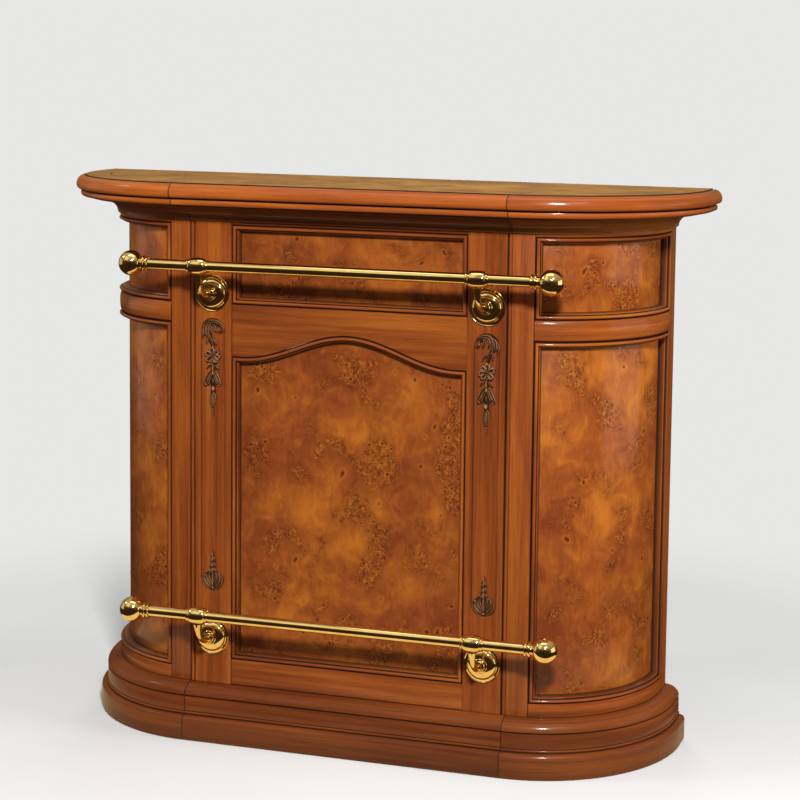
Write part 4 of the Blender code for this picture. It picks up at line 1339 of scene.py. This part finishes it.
def wall_colour(tree):
    """Graded by height, apart at the front and the back of the studio."""
    parts = make_node(tree, "SeparateXYZ", {0: place_source(tree, "across")})
    rise = calculate(tree, "DIVIDE", parts.outputs["Z"], STUDIO_HEIGHT)
    back = calculate(tree, "MULTIPLY_ADD", parts.outputs["Y"], 0.5 / STUDIO_RADIUS, 0.5)
    return mix_colours(tree, back, ramp(tree, rise, FRONT_WALL), ramp(tree, rise, BACK_WALL))


def make_disc(across, deep, z):
    bm = bmesh.new()
    bmesh.ops.create_circle(bm, cap_ends=True, segments=48, radius=1)
    bm.transform(Matrix.Translation((0, 0, z)) @ Matrix.Diagonal((across, deep, 1, 1)))
    return bm


def make_softbox(direction, half):
    """Square card that faces the counter."""
    way = towards(direction)
    turn = way.to_track_quat("Z", "Y").to_matrix().to_4x4()
    bm = make_square(half)
    bm.transform(Matrix.Translation(SOFTBOX_DISTANCE * way) @ turn)
    return bm


def build_reflectors():
    """Cards that only glossy rays see: dim walls, a brighter roof, the ground and softboxes."""
    walls = make_glow("reflector_walls", wall_colour)
    far_ground = make_glow("reflector_ground", FAR_GROUND)
    near_ground = make_glow("reflector_near", NEAR_GROUND)
    wide = (STUDIO_RADIUS, STUDIO_RADIUS)
    wall_mesh = bmesh.new()
    bmesh.ops.create_cone(
        wall_mesh, cap_ends=False, segments=48, radius1=STUDIO_RADIUS, radius2=STUDIO_RADIUS,
        depth=STUDIO_HEIGHT,
    )
    bmesh.ops.translate(wall_mesh, vec=(0, 0, STUDIO_HEIGHT / 2), verts=wall_mesh.verts)
    cards = [
        ("reflector_walls", wall_mesh, walls),
        ("reflector_roof", make_disc(*wide, STUDIO_HEIGHT), walls),
        ("reflector_ground", make_disc(*wide, FAR_GROUND_HEIGHT), far_ground),
        ("reflector_near", make_disc(*NEAR_GROUND_REACH, NEAR_GROUND_HEIGHT), near_ground),
    ]
    for word, (direction, half, strength) in SOFTBOXES.items():
        glow = make_glow(f"softbox_{word}", dimmed(SOFTBOX_TINT, strength))
        cards.append((f"softbox_{word}", make_softbox(direction, half), glow))
    for name, bm, material in cards:
        item = add_stage(name, bm, material)
        for kind in ("camera", "diffuse", "transmission", "volume_scatter", "shadow"):
            setattr(item, f"visible_{kind}", False)


def build_studio():
    """Pale surroundings, floor, reflector cards and lamps."""
    world = bpy.data.worlds.new("studio")
    bpy.context.scene.world = world
    world.use_nodes = True
    tree = world.node_tree
    level = mix_colours(tree, seen_directly(tree), WORLD_FILL, BACKGROUND)
    tree.links.new(level, tree.nodes["Background"].inputs["Color"])
    build_floor()
    build_reflectors()
    for name, lamp in LAMPS.items():
        add_light(name, *lamp)


def place_camera():
    data = bpy.data.cameras.new("camera")
    data.sensor_width = 36
    data.lens = CAMERA_LENS
    data.shift_x, data.shift_y = CAMERA_SHIFT
    camera = add_object("camera", data)
    heading = Matrix.Rotation(-CAMERA_YAW, 4, "Z")
    pitch = Matrix.Rotation(math.pi / 2 - CAMERA_DIP, 4, "X")
    roll = Matrix.Rotation(CAMERA_ROLL, 4, "Z")
    camera.matrix_world = Matrix.Translation(CAMERA_PLACE) @ heading @ pitch @ roll
    bpy.context.scene.camera = camera


place_camera()
build_studio()
bpy.context.scene.view_settings.view_transform = "Standard"
build_runs()
build_corners()
build_centre()
build_top_board()
build_brass()
for end_word, end_side in SIDES.items():
    build_pilaster(end_word, end_side)
    build_upper_carving(end_word, end_side)
    build_lower_carving(end_word, end_side)
dress_kept_nodes()

bpy.context.view_layer.update()
